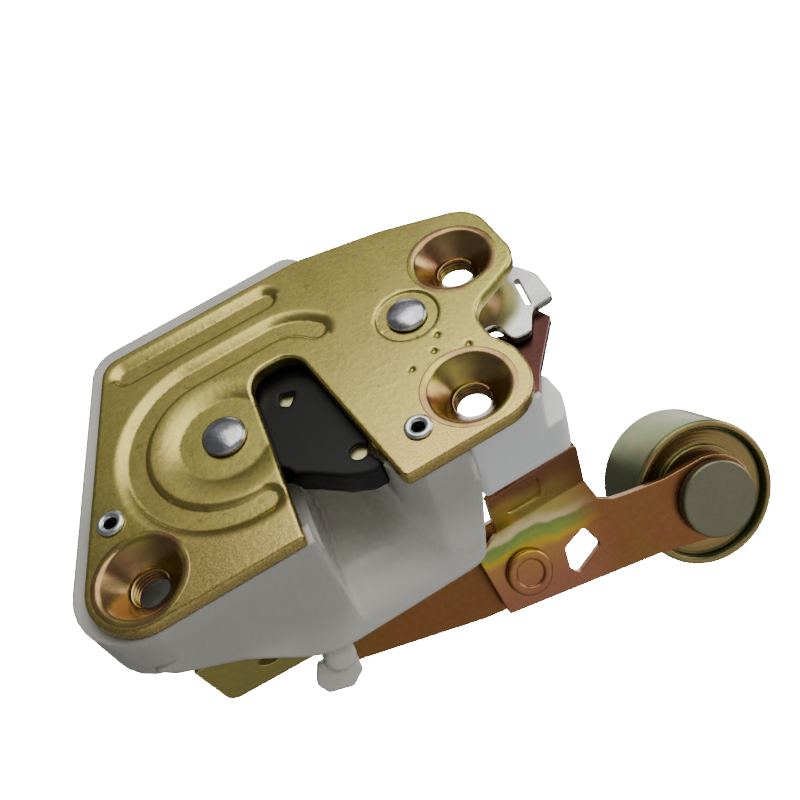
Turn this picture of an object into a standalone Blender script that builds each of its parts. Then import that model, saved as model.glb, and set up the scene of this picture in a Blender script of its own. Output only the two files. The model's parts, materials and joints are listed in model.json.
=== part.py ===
# Sliding door lock: a pressed face plate and a moulded nylon housing that hold a rotary claw,
# the pawl that latches it and its release lever, with a sprung roller lever behind the housing.
# All sizes are in millimetres and are turned into metres where a mesh is made.
# X runs along the mouth edge, Y goes into the lock from the face plate's outer face, Z is up.

import math

import bmesh
import bpy
from mathutils import Matrix, Vector

MM = 0.001

# Driving dimensions: clearances and sheet gauges
GAP = 0.3
RUNNING_CLEARANCE = 0.05
PLATE_GAUGE = 2.5
BACK_GAUGE = 2.0
LEVER_GAUGE = 1.6
CARRIER_GAUGE = 1.6

# Face plate: its edges, the striker slot and the pressed forms
MOUTH_Z = -18.4
PLATE_TOP_Z = 38.2
PLATE_LEFT_LOW_X = -58.5
PLATE_LEFT_HIGH_X = -36.9
PLATE_RIGHT_MARGIN = 23.2
LOBE_RIGHT_X = 26.8
WAIST_MARGIN = 9.5
SLOT_MOUTH_LEFT_X = -19.1
SLOT_MOUTH_RIGHT_X = -1.1
SLOT_TOP_LEFT_X = -14.7
SLOT_TOP_RIGHT_X = -5.0
SLOT_TOP_Z = 17.6
SLOT_CORNER_RADIUS = 4.5
CONE_RIM_RADIUS = 7.0
CONE_ROLL = 0.9
THREAD_RADIUS = 3.4
COLLAR_RADIUS = 5.3
COLLAR_END_Y = 7.0
SCREW_ROOM_RADIUS = 4.8
RIB_WIDTH = 3.8
RIB_DEPTH = 0.8
RIB_SLOPE = 0.55
ARC_RIB_RADIUS = 16.2
STRAIGHT_RIB_Z = 32.8
STRAIGHT_RIB_LEFT_X = -33.5
STRAIGHT_RIB_RIGHT_X = -4.7
DISH_RADIUS = 13.2
PAD_RADIUS = 8.3
PAD_DEPTH = 0.7
PAWL_PAD_RADIUS = 6.1
PUNCH_DOTS = ((17.5, 4.1), (15.3, 1.3), (20.8, -1.1), (18.5, -1.8), (10.3, 0.1))
PUNCH_DOT_RADIUS = 0.6
PUNCH_DOT_DEPTH = 0.5
EYELET_PLACES = {"left": (-45.9, 3.3), "right": (5.4, -11.3)}
EYELET_FLARE_RADIUS = 2.45
EYELET_SHANK_RADIUS = 1.7
EYELET_BORE_RADIUS = 1.1
EYELET_LENGTH = 9.0

# Claw, in its own polar frame about the claw pivot, open as in the photograph
CLAW_PIVOT = (-22.9, 8.0)
CLAW_RIM_RADIUS = 28.0
CLAW_FRONT_Y = 4.0
CLAW_THICKNESS = 5.2
CLAW_SKIN = 1.0
CLAW_WALL = 1.3
CLAW_U_WIDTH = 9.5
CLAW_U_CENTRE_RADIUS = 13.0
CLAW_U_ANGLE = -78.0
CLAW_HUB_RADIUS = 8.6
CLAW_TINE_RADIUS = 22.4
CLAW_TINE_CHAMFER = 4.5
CLAW_NOTCH_DEPTH = 3.6
CLAW_NOTCH_ANGLES = (-31.0, -1.0)
CLAW_RIM_START = -44.0
CLAW_RIM_END = 44.0
CLAW_SHOULDER_RADIUS = 15.5
CLAW_PIVOT_RADIUS = 3.6
CLAW_HEAD_RADIUS = 4.0
CLAW_HEAD_HEIGHT = 1.7

# Pawl and release lever, which turn together about the pawl pivot
PAWL_REACH = 10.36
PAWL_BEARING = math.radians(5.235)
PAWL_PIVOT = (
    CLAW_PIVOT[0] + (CLAW_RIM_RADIUS + PAWL_REACH) * math.cos(PAWL_BEARING),
    CLAW_PIVOT[1] + (CLAW_RIM_RADIUS + PAWL_REACH) * math.sin(PAWL_BEARING),
)
PAWL_NOSE_ANGLE = 40.6

# Screw places: the upper one goes with the pawl, which it has to clear
SCREW_PLACES = {
    "left": (-44.7, -9.3),
    "upper": (PAWL_PIVOT[0] + 13.2, PAWL_PIVOT[1] + 6.8),
    "lower": (16.2, -9.0),
}

# Pawl and its pivot
PAWL_FRONT_Y = 4.2
PAWL_THICKNESS = 3.0
PAWL_BOSS_RADIUS = 7.6
PAWL_PIVOT_RADIUS = 3.0
PAWL_HEAD_RADIUS = 3.6
PAWL_HEAD_HEIGHT = 1.4
RELEASE_GAUGE = 1.6
RELEASE_FRONT_Y = PAWL_FRONT_Y + PAWL_THICKNESS + GAP
PAWL_PAD_DEPTH = 0.45
PAWL_SPRING_RADIUS = 3.7
PAWL_SPRING_WIRE = 0.8
PAWL_SPRING_LEG = 5.0
PAWL_SPRING_LEG_ANGLE = -70.0
PAWL_STUD_ROOM = 4.35
STUD_CLINCH = 1.2

# Housing and its deep box behind the striker slot
HOUSING_FRONT_Y = PLATE_GAUGE + GAP
HOUSING_RIM = 3.4
HOUSING_TOP_RIM = 5.3
HOUSING_FLOOR_Y = 12.1
HOUSING_FLOOR = 2.6
BOX_REAR_Y = 38.3
BOX_WALL = 2.6
BOX_TOP_Z = 19.0
THROAT_REAR_Y = 26.0
THROAT_FLARE = 9.0
THROAT_STEP = 0.9
POCKET_CLEARANCE = 0.8

# Back plate, behind the release lever
BACK_STANDOFF = 0.6
BACK_FRONT_Y = RELEASE_FRONT_Y + RELEASE_GAUGE + BACK_STANDOFF
BACK_REAR_Y = BACK_FRONT_Y + BACK_GAUGE
CLAW_STUD_LENGTH = 9.9
PAWL_STUD_LENGTH = 6.3

# Lever guide, the second nylon block
GUIDE_LEFT_X = 11.4
GUIDE_RIGHT_X = 31.2
GUIDE_BOTTOM_Z = -16.2
GUIDE_TOP_Z = -4.2
GUIDE_FRONT_Y = 12.2
GUIDE_REAR_Y = 22.0
GUIDE_LIP = 1.0

# Roller lever: a flat flange along the mouth edge, folded down into the sheet that carries the roller
LEVER_TILT = 39.0
LEVER_BEND = 1.2
FOLD_Y = 36.0
FOLD_Z = -15.4
FLANGE_FRONT_Y = 23.0
LEVER_LEFT_U = 6.0
LEVER_FLANGE_RIGHT_U = 31.1
LEVER_PIVOT = (13.4, 10.0)
LEVER_PIVOT_RADIUS = 3.0
LEVER_RING_RADIUS = 4.65
ROLLER_PLACE = (53.1, 17.1)
ROLLER_RADIUS = 15.0
ROLLER_WIDTH = 16.5
ROLLER_RIM = 1.8
ROLLER_STANDOFF = 3.3
ROLLER_RECESS = 2.4
ROLLER_HUB_RADIUS = 9.6
ROLLER_BORE_RADIUS = 5.0
PIN_HEAD_RADIUS = 8.0
PIN_HEAD_HEIGHT = 2.2
PIN_RADIUS = 4.0
CARRIER_STANDOFF = 3.6
CLIP_BOSS_PLACE = (-25.3, 5.2)
CLIP_BOSS_RADIUS = 3.1
CLIP_PIN_RADIUS = 2.0
BRACKET_Z = -16.9
BRACKET_SEAT = 1.4
BRACKET_HOLE_PLACE = (-35.6, 29.4)
BRACKET_HOLE_RADIUS = 2.3

# Springs: wire turns as facets
SPRING_STEPS = 9

# A cut that goes right through
THROUGH = 60.0

# The furthest that a facet may stand off its true arc
FACET_ERROR = 0.1
MOST_STEP_DEGREES = 20.0


# Outline helpers
def polar(centre, radius, degrees):
    """A point at a radius and angle round a centre, in the outline's own plane."""
    angle = math.radians(degrees)
    return (centre[0] + radius * math.cos(angle), centre[1] + radius * math.sin(angle))


def steps_for(radius, degrees):
    """The number of facets that keeps an arc within the facet error."""
    widest = 2 * math.degrees(math.acos(max(0.5, 1 - FACET_ERROR / max(radius, FACET_ERROR))))
    return max(1, math.ceil(abs(degrees) / min(widest, MOST_STEP_DEGREES)))


def arc(centre, radius, start, end):
    """Points along an arc, both ends included."""
    count = steps_for(radius, end - start) + 1
    return [
        polar(centre, radius, start + (end - start) * i / (count - 1)) for i in range(count)
    ]


def circle(centre, radius, count=24):
    return [polar(centre, radius, 360 * i / count) for i in range(count)]


def rounded(corners):
    """A closed outline from (x, z, radius) corners, each corner replaced by its fillet arc."""
    points = []
    for i, (x, z, radius) in enumerate(corners):
        corner = Vector((x, z))
        before = (Vector(corners[i - 1][:2]) - corner).normalized()
        after = (Vector(corners[(i + 1) % len(corners)][:2]) - corner).normalized()
        half = before.angle(after) / 2
        if radius <= 0 or half > math.radians(89):
            points.append((x, z))
            continue
        centre = corner + (before + after).normalized() * (radius / math.sin(half))
        first = corner + before * (radius / math.tan(half)) - centre
        turn = first.angle_signed(corner + after * (radius / math.tan(half)) - centre)
        count = steps_for(radius, math.degrees(turn)) + 1
        for k in range(count):
            swing = Matrix.Rotation(-turn * k / (count - 1), 2)
            points.append(tuple(centre + swing @ first))
    return points


def widened_path(path, half_width):
    """The closed outline of a round-ended band that follows a path."""
    left = []
    right = []
    for i, point in enumerate(path):
        ahead = Vector(path[min(i + 1, len(path) - 1)])
        behind = Vector(path[max(i - 1, 0)])
        along = (ahead - behind).normalized()
        side = Vector((-along.y, along.x)) * half_width
        left.append(tuple(Vector(point) + side))
        right.append(tuple(Vector(point) - side))
    first = Vector(path[1]) - Vector(path[0])
    last = Vector(path[-1]) - Vector(path[-2])
    start = math.degrees(math.atan2(first.y, first.x))
    finish = math.degrees(math.atan2(last.y, last.x))
    end_cap = arc(path[-1], half_width, finish - 90, finish + 90)
    start_cap = arc(path[0], half_width, start + 90, start + 270)
    return right[:-1] + end_cap + left[-2:0:-1] + start_cap[:-1]


# Mesh helpers
def material(name, colour, roughness, metallic):
    made = bpy.data.materials.new(name)
    made.use_nodes = True
    shader = made.node_tree.nodes["Principled BSDF"]
    shader.inputs["Base Color"].default_value = (*colour, 1.0)
    shader.inputs["Roughness"].default_value = roughness
    shader.inputs["Metallic"].default_value = metallic
    made.diffuse_color = (*colour, 1.0)
    return made


def object_from(name, bm, matrix=None):
    """A mesh object from a bmesh in millimetres, with its normals facing out."""
    if matrix is not None:
        bmesh.ops.transform(bm, matrix=matrix, verts=bm.verts)
    bmesh.ops.scale(bm, vec=(MM, MM, MM), verts=bm.verts)
    bmesh.ops.recalc_face_normals(bm, faces=bm.faces)
    mesh = bpy.data.meshes.new(name)
    bm.to_mesh(mesh)
    bm.free()
    made = bpy.data.objects.new(name, mesh)
    bpy.context.scene.collection.objects.link(made)
    return made


# An outline drawn in (x, z) and extruded along +Y: the plane of the face plate.
FACE = Matrix(((1, 0, 0, 0), (0, 0, 1, 0), (0, 1, 0, 0), (0, 0, 0, 1)))
# An outline drawn in (x, y) and extruded along +Z: the plane of the mouth.
MOUTH = Matrix.Identity(4)
# A section drawn in (y, z) and extruded along +X.
SECTION = Matrix(((0, 0, 1, 0), (1, 0, 0, 0), (0, 1, 0, 0), (0, 0, 0, 1)))
# An outline drawn in (u, v) on the folded sheet and extruded away from its front.
SHEET = Matrix.Translation((0, FOLD_Y, FOLD_Z)) @ Matrix.Rotation(math.radians(-LEVER_TILT), 4, "X")


def slab(name, outline, low, high, plane=FACE, bevel=0.0, bevel_low_only=False, segments=1):
    """An outline extruded between two depths, with its outer edges broken by a bevel."""
    bm = bmesh.new()
    corners = [bm.verts.new((x, z, low)) for x, z in outline]
    floor = bm.faces.new(corners)
    raised = bmesh.ops.extrude_face_region(bm, geom=[floor])
    lifted = [item for item in raised["geom"] if isinstance(item, bmesh.types.BMVert)]
    bmesh.ops.translate(bm, verts=lifted, vec=(0, 0, high - low))
    if bevel > 0:
        ends = (low,) if bevel_low_only else (low, high)
        edges = [
            edge
            for edge in bm.edges
            if edge.verts[0].co.z == edge.verts[1].co.z and edge.verts[0].co.z in ends
        ]
        bmesh.ops.bevel(
            bm,
            geom=edges,
            offset=bevel,
            offset_type="OFFSET",
            segments=segments,
            profile=0.5,
            affect="EDGES",
            material=-1,
        )
    return object_from(name, bm, plane)


def turned(name, profile, place, plane=FACE, steps=24):
    """A (radius, depth) profile spun about the line through a place, square to its plane.

    A profile that starts on the axis also ends there, and any other closes on itself.
    """
    bm = bmesh.new()
    ring = [bm.verts.new((radius, 0, depth)) for radius, depth in profile]
    edges = [bm.edges.new((first, second)) for first, second in zip(ring, ring[1:])]
    if profile[0][0] > 0:
        edges.append(bm.edges.new((ring[-1], ring[0])))
    bmesh.ops.spin(
        bm,
        geom=ring + edges,
        cent=(0, 0, 0),
        axis=(0, 0, 1),
        angle=math.tau,
        steps=steps,
        use_merge=True,
    )
    bmesh.ops.remove_doubles(bm, verts=bm.verts, dist=0.001)
    bmesh.ops.dissolve_degenerate(bm, edges=bm.edges, dist=0.0001)
    return object_from(name, bm, plane @ Matrix.Translation((place[0], place[1], 0)))


def lofted(name, sections):
    """A closed solid through sections, each a list of the same number of points in space."""
    bm = bmesh.new()
    rings = [[bm.verts.new(point) for point in section] for section in sections]
    for lower, upper in zip(rings, rings[1:]):
        for i in range(len(lower)):
            after = (i + 1) % len(lower)
            bm.faces.new((lower[i], lower[after], upper[after], upper[i]))
    bm.faces.new(rings[0])
    bm.faces.new(rings[-1])
    return object_from(name, bm)


def combine(target, tool, operation):
    """Cuts, joins or intersects a tool with a target, and takes the tool away."""
    modifier = target.modifiers.new(operation.lower(), "BOOLEAN")
    modifier.operation = operation
    modifier.solver = "EXACT"
    modifier.object = tool
    bpy.context.view_layer.objects.active = target
    bpy.ops.object.modifier_apply(modifier=modifier.name)
    bpy.data.objects.remove(tool)
    return target


def cut(target, tool):
    return combine(target, tool, "DIFFERENCE")


def join(target, tool):
    return combine(target, tool, "UNION")


def hole(target, place, radius, low, high, plane=FACE, count=24):
    return cut(target, slab("cutter", circle(place, radius, count), low, high, plane))


def finish(made, paint, origin=(0, 0, 0)):
    """Gives a piece its material, smooth round faces and its origin."""
    made.data.materials.clear()
    made.data.materials.append(paint)
    made.data.shade_smooth()
    made.data.set_sharp_from_angle(angle=math.radians(32))
    place = Vector(origin) * MM
    made.data.transform(Matrix.Translation(-place))
    made.location = place
    return made


def on_face(place, depth=0.0):
    return (place[0], depth, place[1])


def on_sheet(place, depth=0.0):
    return tuple(SHEET @ Vector((place[0], place[1], depth)))


def folded_section(start, corner, end, inside_radius, gauge, rear):
    """A sheet's section through one fold: rear is 1 if the sheet's back lies left of its run."""
    start, corner, end = Vector(start), Vector(corner), Vector(end)
    first = (corner - start).normalized()
    second = (end - corner).normalized()
    turn = math.atan2(first.x * second.y - first.y * second.x, first.dot(second))
    inward = 1 if turn > 0 else -1
    back_inside = inward == rear
    front_radius = inside_radius + gauge if back_inside else inside_radius
    back_radius = inside_radius if back_inside else inside_radius + gauge
    normal = Vector((-first.y, first.x))
    tangent = front_radius * math.tan(abs(turn) / 2)
    centre = corner - first * tangent + normal * inward * front_radius
    count = steps_for(inside_radius + gauge, math.degrees(turn)) + 1
    spokes = [
        Matrix.Rotation(turn * k / (count - 1), 2) @ (normal * -inward) for k in range(count)
    ]
    far_normal = Vector((-second.y, second.x))
    front = [start] + [centre + spoke * front_radius for spoke in spokes] + [end]
    back = [start + normal * rear * gauge]
    back += [centre + spoke * back_radius for spoke in spokes]
    back += [end + far_normal * rear * gauge]
    return [tuple(point) for point in front + back[::-1]]


# Outlines shared by several pieces
def slot_outline(margin=0.0, low=MOUTH_Z):
    """The striker slot, open past the mouth edge and widened on each side by a margin."""
    reach = (low - MOUTH_Z) / (SLOT_TOP_Z - MOUTH_Z)
    left = SLOT_MOUTH_LEFT_X + reach * (SLOT_TOP_LEFT_X - SLOT_MOUTH_LEFT_X)
    right = SLOT_MOUTH_RIGHT_X + reach * (SLOT_TOP_RIGHT_X - SLOT_MOUTH_RIGHT_X)
    radius = SLOT_CORNER_RADIUS + margin
    return rounded(
        [
            (left - margin, low, 0),
            (right + margin, low, 0),
            (SLOT_TOP_RIGHT_X + margin, SLOT_TOP_Z + margin, radius),
            (SLOT_TOP_LEFT_X - margin, SLOT_TOP_Z + margin, radius),
        ]
    )


def plate_outline():
    waist = PAWL_PIVOT[0] + WAIST_MARGIN
    right = PAWL_PIVOT[0] + PLATE_RIGHT_MARGIN
    return rounded(
        [
            (PLATE_LEFT_LOW_X, MOUTH_Z, 9.3),
            (SLOT_MOUTH_LEFT_X, MOUTH_Z, 0.8),
            (SLOT_TOP_LEFT_X, SLOT_TOP_Z, SLOT_CORNER_RADIUS),
            (SLOT_TOP_RIGHT_X, SLOT_TOP_Z, SLOT_CORNER_RADIUS),
            (SLOT_MOUTH_RIGHT_X, MOUTH_Z, 1.2),
            (LOBE_RIGHT_X, MOUTH_Z, 8.6),
            (LOBE_RIGHT_X, -6.5, 4.0),
            (waist, -1.5, 5.0),
            (waist, 5.0, 5.6),
            (right, 11.2, 6.0),
            (right, 27.8, 7.0),
            (21.5, 34.2, 30.0),
            (4.5, PLATE_TOP_Z, 12.0),
            (PLATE_LEFT_HIGH_X, PLATE_TOP_Z, 4.5),
        ]
    )


def arc_rib_path():
    """From the round end under the claw pivot, round its left side and along the top."""
    around = arc(CLAW_PIVOT, ARC_RIB_RADIUS, 276, 90)
    top = CLAW_PIVOT[1] + ARC_RIB_RADIUS
    return around + arc((-7.5, top - 9.5), 9.5, 90, 32)


def rib_paths():
    straight = [(STRAIGHT_RIB_LEFT_X, STRAIGHT_RIB_Z), (STRAIGHT_RIB_RIGHT_X, STRAIGHT_RIB_Z)]
    return [arc_rib_path(), straight]


def claw_notch(angle):
    """A latching notch in the claw's rim: a radial face and a ramp back up to the rim."""
    floor_radius = CLAW_RIM_RADIUS - CLAW_NOTCH_DEPTH
    return [
        polar(CLAW_PIVOT, floor_radius + 0.6, angle - 12),
        polar(CLAW_PIVOT, floor_radius, angle - 8),
        polar(CLAW_PIVOT, floor_radius, angle),
    ]


def claw_rim(radius, end, notched):
    """The claw's rim, with its two latching notches where its steel core shows them."""
    if not notched:
        return arc(CLAW_PIVOT, radius, CLAW_RIM_START, end)
    points = [polar(CLAW_PIVOT, radius, CLAW_RIM_START)]
    ends = [angle - 14 for angle in CLAW_NOTCH_ANGLES[1:]] + [end]
    for angle, run_end in zip(CLAW_NOTCH_ANGLES, ends):
        points += claw_notch(angle) + arc(CLAW_PIVOT, radius, angle + 0.5, run_end)
    return points


def claw_profile(shrink=0.0, notched=False):
    """The claw's outline, moved in by a margin: flank, rim, shoulder, hub, tine, striker slot."""
    rim = CLAW_RIM_RADIUS - shrink
    rim_end = CLAW_RIM_END - 2 * shrink
    along = polar((0, 0), 1, CLAW_U_ANGLE)
    half = CLAW_U_WIDTH / 2 + shrink
    tine_length = CLAW_TINE_RADIUS - 1 - shrink
    tine_end = CLAW_U_ANGLE - math.degrees(math.atan2(half, tine_length)) - CLAW_TINE_CHAMFER
    flank = [(9.6 + 0.6 * shrink, -13.4), (14.2, -17.4 + shrink), (17.6, -19.2 + shrink)]
    points = [(CLAW_PIVOT[0] + x, CLAW_PIVOT[1] + z) for x, z in flank]
    points += claw_rim(rim, rim_end, notched)
    points += [polar(CLAW_PIVOT, rim - 3, rim_end + 6)]
    points += [polar(CLAW_PIVOT, CLAW_SHOULDER_RADIUS - shrink, 78)]
    points += arc(CLAW_PIVOT, CLAW_HUB_RADIUS - shrink, 118, 206)
    points += arc(CLAW_PIVOT, CLAW_TINE_RADIUS - shrink, -115 + 2 * shrink, tine_end)
    points += [
        (
            CLAW_PIVOT[0] + half * along[1] + tine_length * along[0],
            CLAW_PIVOT[1] - half * along[0] + tine_length * along[1],
        )
    ]
    base = polar(CLAW_PIVOT, CLAW_U_CENTRE_RADIUS, CLAW_U_ANGLE)
    return points + arc(base, half, CLAW_U_ANGLE + 270, CLAW_U_ANGLE + 90)


# Pieces
def make_face_plate(paint):
    plate = slab(
        "face_plate", plate_outline(), 0, PLATE_GAUGE, bevel=0.55, bevel_low_only=True, segments=2
    )
    for path in rib_paths():
        ridge = widened_path(path, RIB_WIDTH / 2)
        join(plate, slab("ridge", ridge, 1.2, PLATE_GAUGE + RIB_DEPTH * 0.7))
        floor = widened_path(path, RIB_WIDTH / 2 - RIB_SLOPE)
        cut(plate, lofted("groove", band_sections(ridge, floor, RIB_DEPTH)))
    slope = (DISH_RADIUS - PAD_RADIUS) * 0.55
    dish = [
        (0, -1),
        (DISH_RADIUS + 0.02, -1),
        (DISH_RADIUS, 0.0),
        (PAD_RADIUS + slope, PAD_DEPTH * 0.5),
        (PAD_RADIUS, PAD_DEPTH),
        (0, PAD_DEPTH),
    ]
    cut(plate, turned("dish", dish, CLAW_PIVOT, steps=32))
    pad = [
        (0, -1),
        (PAWL_PAD_RADIUS, -1),
        (PAWL_PAD_RADIUS, 0),
        (PAWL_PAD_RADIUS - 0.4, PAWL_PAD_DEPTH),
        (0, PAWL_PAD_DEPTH),
    ]
    cut(plate, turned("pad", pad, PAWL_PIVOT, steps=28))
    for place in SCREW_PLACES.values():
        hole(plate, place, CONE_RIM_RADIUS + CONE_ROLL - 0.2, -1, THROUGH, count=24)
        join(plate, turned("screw_cone", cone_profile(), place))
    for place in PUNCH_DOTS:
        hole(plate, place, PUNCH_DOT_RADIUS, -1, PUNCH_DOT_DEPTH, count=8)
    for place in EYELET_PLACES.values():
        hole(plate, place, EYELET_SHANK_RADIUS + RUNNING_CLEARANCE, -1, THROUGH, count=20)
    hole(plate, CLAW_PIVOT, CLAW_PIVOT_RADIUS + RUNNING_CLEARANCE, -1, THROUGH)
    hole(plate, PAWL_PIVOT, PAWL_PIVOT_RADIUS + RUNNING_CLEARANCE, -1, THROUGH)
    return finish(plate, paint)


def band_sections(outer, inner, depth):
    """A round-bottomed groove as a loft: its rim above the face and its floor."""
    above = [(x, -0.5, z) for x, z in outer]
    rim = [(x, 0.0, z) for x, z in outer]
    floor = [(x, depth, z) for x, z in inner]
    return [above, rim, floor]


def cone_profile():
    """Half-section of a drawn screw cone: rolled rim, 45 degree cone, threaded collar behind."""
    throat_y = CONE_RIM_RADIUS - THREAD_RADIUS
    rolled = [
        (CONE_RIM_RADIUS + CONE_ROLL, 0.0),
        (CONE_RIM_RADIUS + CONE_ROLL * 0.35, 0.1),
        (CONE_RIM_RADIUS - 0.1, CONE_ROLL * 0.55),
    ]
    return rolled + [
        (THREAD_RADIUS + 0.5, throat_y),
        (THREAD_RADIUS, throat_y + 0.6),
        (THREAD_RADIUS, COLLAR_END_Y),
        (COLLAR_RADIUS, COLLAR_END_Y),
        (COLLAR_RADIUS, COLLAR_END_Y - 1.6),
        (CONE_RIM_RADIUS + CONE_ROLL, PLATE_GAUGE),
    ]


def throat_section(z):
    """The throat's plan at one height: slot width, corner rounds, and a flare towards the mouth."""
    share = (z - MOUTH_Z) / (SLOT_TOP_Z - MOUTH_Z)
    left = SLOT_MOUTH_LEFT_X + share * (SLOT_TOP_LEFT_X - SLOT_MOUTH_LEFT_X) + THROAT_STEP
    right = SLOT_MOUTH_RIGHT_X + share * (SLOT_TOP_RIGHT_X - SLOT_MOUTH_RIGHT_X) - THROAT_STEP
    drop = min(1.0, max(0.0, 1 - (z - MOUTH_Z) / THROAT_FLARE))
    flare = 1 - math.sqrt(1 - drop**2)
    rear = THROAT_REAR_Y + THROAT_FLARE * flare
    right_flare = right + THROAT_FLARE * 0.45 * flare
    plan = rounded(
        [
            (left, 1.0, 0),
            (right_flare, 1.0, 0),
            (right_flare, rear, 5.0),
            (left, rear, 1.2),
        ]
    )
    return [(x, y, z) for x, y in plan]


def housing_outline():
    """The tray behind the face plate: its rim shows to the left of the plate and above it."""
    rim = HOUSING_RIM / math.cos(math.radians(21))
    lean = (PLATE_LEFT_HIGH_X - PLATE_LEFT_LOW_X) / (PLATE_TOP_Z - MOUTH_Z)
    top = PLATE_TOP_Z + HOUSING_TOP_RIM
    top_left = PLATE_LEFT_HIGH_X - rim + lean * HOUSING_TOP_RIM
    return rounded(
        [
            (PLATE_LEFT_LOW_X - rim, MOUTH_Z, 11.0),
            (SLOT_MOUTH_LEFT_X + THROAT_STEP, MOUTH_Z, 0),
            (SLOT_MOUTH_RIGHT_X - THROAT_STEP, MOUTH_Z, 0),
            (10.9, MOUTH_Z, 1.0),
            (10.9, -6.0, 3.0),
            (6.0, 6.0, 6.0),
            (5.5, top, 4.0),
            (top_left, top, 6.0),
        ]
    )


def box_outline(inset=0.0):
    """The deep box's plan on the mouth face: a sloping left side and rounded rear corners."""
    return rounded(
        [
            (-50.5 + inset, HOUSING_FLOOR_Y + inset, 0),
            (-48.4 + inset, 15.8, max(4.0 - inset, 0.5)),
            (-38.5 + inset, 23.0, 20.0),
            (-26.5 + inset * 0.4, BOX_REAR_Y - inset, 12.0 - inset),
            (7.2 - inset, BOX_REAR_Y - 0.8 - inset, 4.0 - inset),
            (10.7 - inset, 14.0 + inset, 0),
            (10.9 - inset, HOUSING_FLOOR_Y + inset, 0),
        ]
    )


def pocket_tools():
    """The claw's and pawl's room in the tray, from the sweep of each."""
    low = HOUSING_FRONT_Y - 1
    high = HOUSING_FLOOR_Y
    reach = CLAW_RIM_RADIUS + POCKET_CLEARANCE
    tine = CLAW_TINE_RADIUS + POCKET_CLEARANCE
    sector = [CLAW_PIVOT] + arc(CLAW_PIVOT, reach, -50, 124)
    tine_sector = [CLAW_PIVOT] + arc(CLAW_PIVOT, tine, -124, -40)
    hub = circle(CLAW_PIVOT, CLAW_SHOULDER_RADIUS + POCKET_CLEARANCE, 32)
    shoulder = [
        CLAW_PIVOT,
        polar(CLAW_PIVOT, reach, 123.5),
        polar(CLAW_PIVOT, reach - 2.5, 131),
        polar(CLAW_PIVOT, CLAW_SHOULDER_RADIUS + 1.5, 156),
    ]
    pawl_room = rounded(
        [(-12, 20, 3), (3, 4.3, 2), (22, -1, 3), (22, 36, 3), (0, 36, 4), (-9, 33.6, 3)]
    )
    return [
        slab("room", sector, low, high),
        slab("room", tine_sector, low, high),
        slab("room", hub, low, high),
        slab("room", shoulder, low, high),
        slab("room", pawl_room, low, high),
    ]


def make_housing(paint):
    housing = slab("housing", housing_outline(), HOUSING_FRONT_Y, HOUSING_FLOOR_Y + HOUSING_FLOOR)
    box = slab("box", box_outline(), MOUTH_Z, BOX_TOP_Z, MOUTH)
    cut(box, slab("hollow", box_outline(BOX_WALL), MOUTH_Z + BOX_WALL, BOX_TOP_Z + 1, MOUTH))
    throat_wall = slab(
        "throat_wall", slot_outline(BOX_WALL - THROAT_STEP), HOUSING_FLOOR_Y, THROAT_REAR_Y + BOX_WALL
    )
    flare_wall = slab(
        "flare_wall",
        rounded([(-22, 26, 0), (5, 26, 0), (6, 37, 3), (-22, 37, 3)]),
        MOUTH_Z,
        MOUTH_Z + THROAT_FLARE + 1.5,
        MOUTH,
    )
    join(box, throat_wall)
    join(box, flare_wall)
    join(housing, box)
    heights = [MOUTH_Z - 1, MOUTH_Z, MOUTH_Z + 0.7, MOUTH_Z + 2, MOUTH_Z + 4, MOUTH_Z + 6.5]
    heights += [MOUTH_Z + THROAT_FLARE, 0, SLOT_TOP_Z - 1.2]
    sections = [throat_section(max(z, MOUTH_Z)) for z in heights]
    sections[0] = [(x, y, heights[0]) for x, y, _ in sections[0]]
    cut(housing, lofted("throat", sections))
    for tool in pocket_tools():
        cut(housing, tool)
    for path in rib_paths():
        channel = widened_path(path, RIB_WIDTH / 2 + 0.5)
        cut(housing, slab("channel", channel, HOUSING_FRONT_Y - 1, HOUSING_FRONT_Y + 1.1))
    leg_end = polar(PAWL_PIVOT, PAWL_SPRING_LEG, PAWL_SPRING_LEG_ANGLE)
    spring_room = widened_path([PAWL_PIVOT, leg_end], PAWL_STUD_ROOM)
    cut(housing, slab("spring_room", spring_room, HOUSING_FRONT_Y - 1, BACK_REAR_Y + PAWL_STUD_LENGTH + 2))
    cut(housing, screw_room(SCREW_PLACES["left"]))
    cut(housing, screw_room(SCREW_PLACES["lower"]))
    for place in EYELET_PLACES.values():
        hole(housing, place, EYELET_SHANK_RADIUS + GAP, 0, HOUSING_FRONT_Y + EYELET_LENGTH, count=20)
    hole(housing, CLAW_PIVOT, CLAW_PIVOT_RADIUS + 0.5, 5, THROUGH / 2)
    hole(housing, CLIP_BOSS_PLACE, CLIP_BOSS_RADIUS + 0.6, -0.4, 12, SHEET)
    groove_top = BRACKET_Z + LEVER_GAUGE + GAP
    groove = slab("groove", bracket_tab_outline(GAP), BRACKET_Z - GAP, groove_top, MOUTH)
    cut(groove, slab("wall", box_outline(BRACKET_SEAT + GAP), BRACKET_Z - 2, BRACKET_Z + 4, MOUTH))
    cut(housing, groove)
    return finish(housing, paint)


def screw_room(place):
    """Room behind the face plate for a screw cone, its threaded collar and the screw's end."""
    wide = CONE_RIM_RADIUS + CONE_ROLL + 0.5
    profile = [
        (0, 1),
        (wide, 1),
        (wide, HOUSING_FRONT_Y + 0.1),
        (COLLAR_RADIUS + 0.4, COLLAR_END_Y - 1.4),
        (COLLAR_RADIUS + 0.4, COLLAR_END_Y + GAP),
        (SCREW_ROOM_RADIUS, COLLAR_END_Y + GAP),
        (SCREW_ROOM_RADIUS, HOUSING_FLOOR_Y + 6),
        (0, HOUSING_FLOOR_Y + 6),
    ]
    return turned("screw_room", profile, place)


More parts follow.
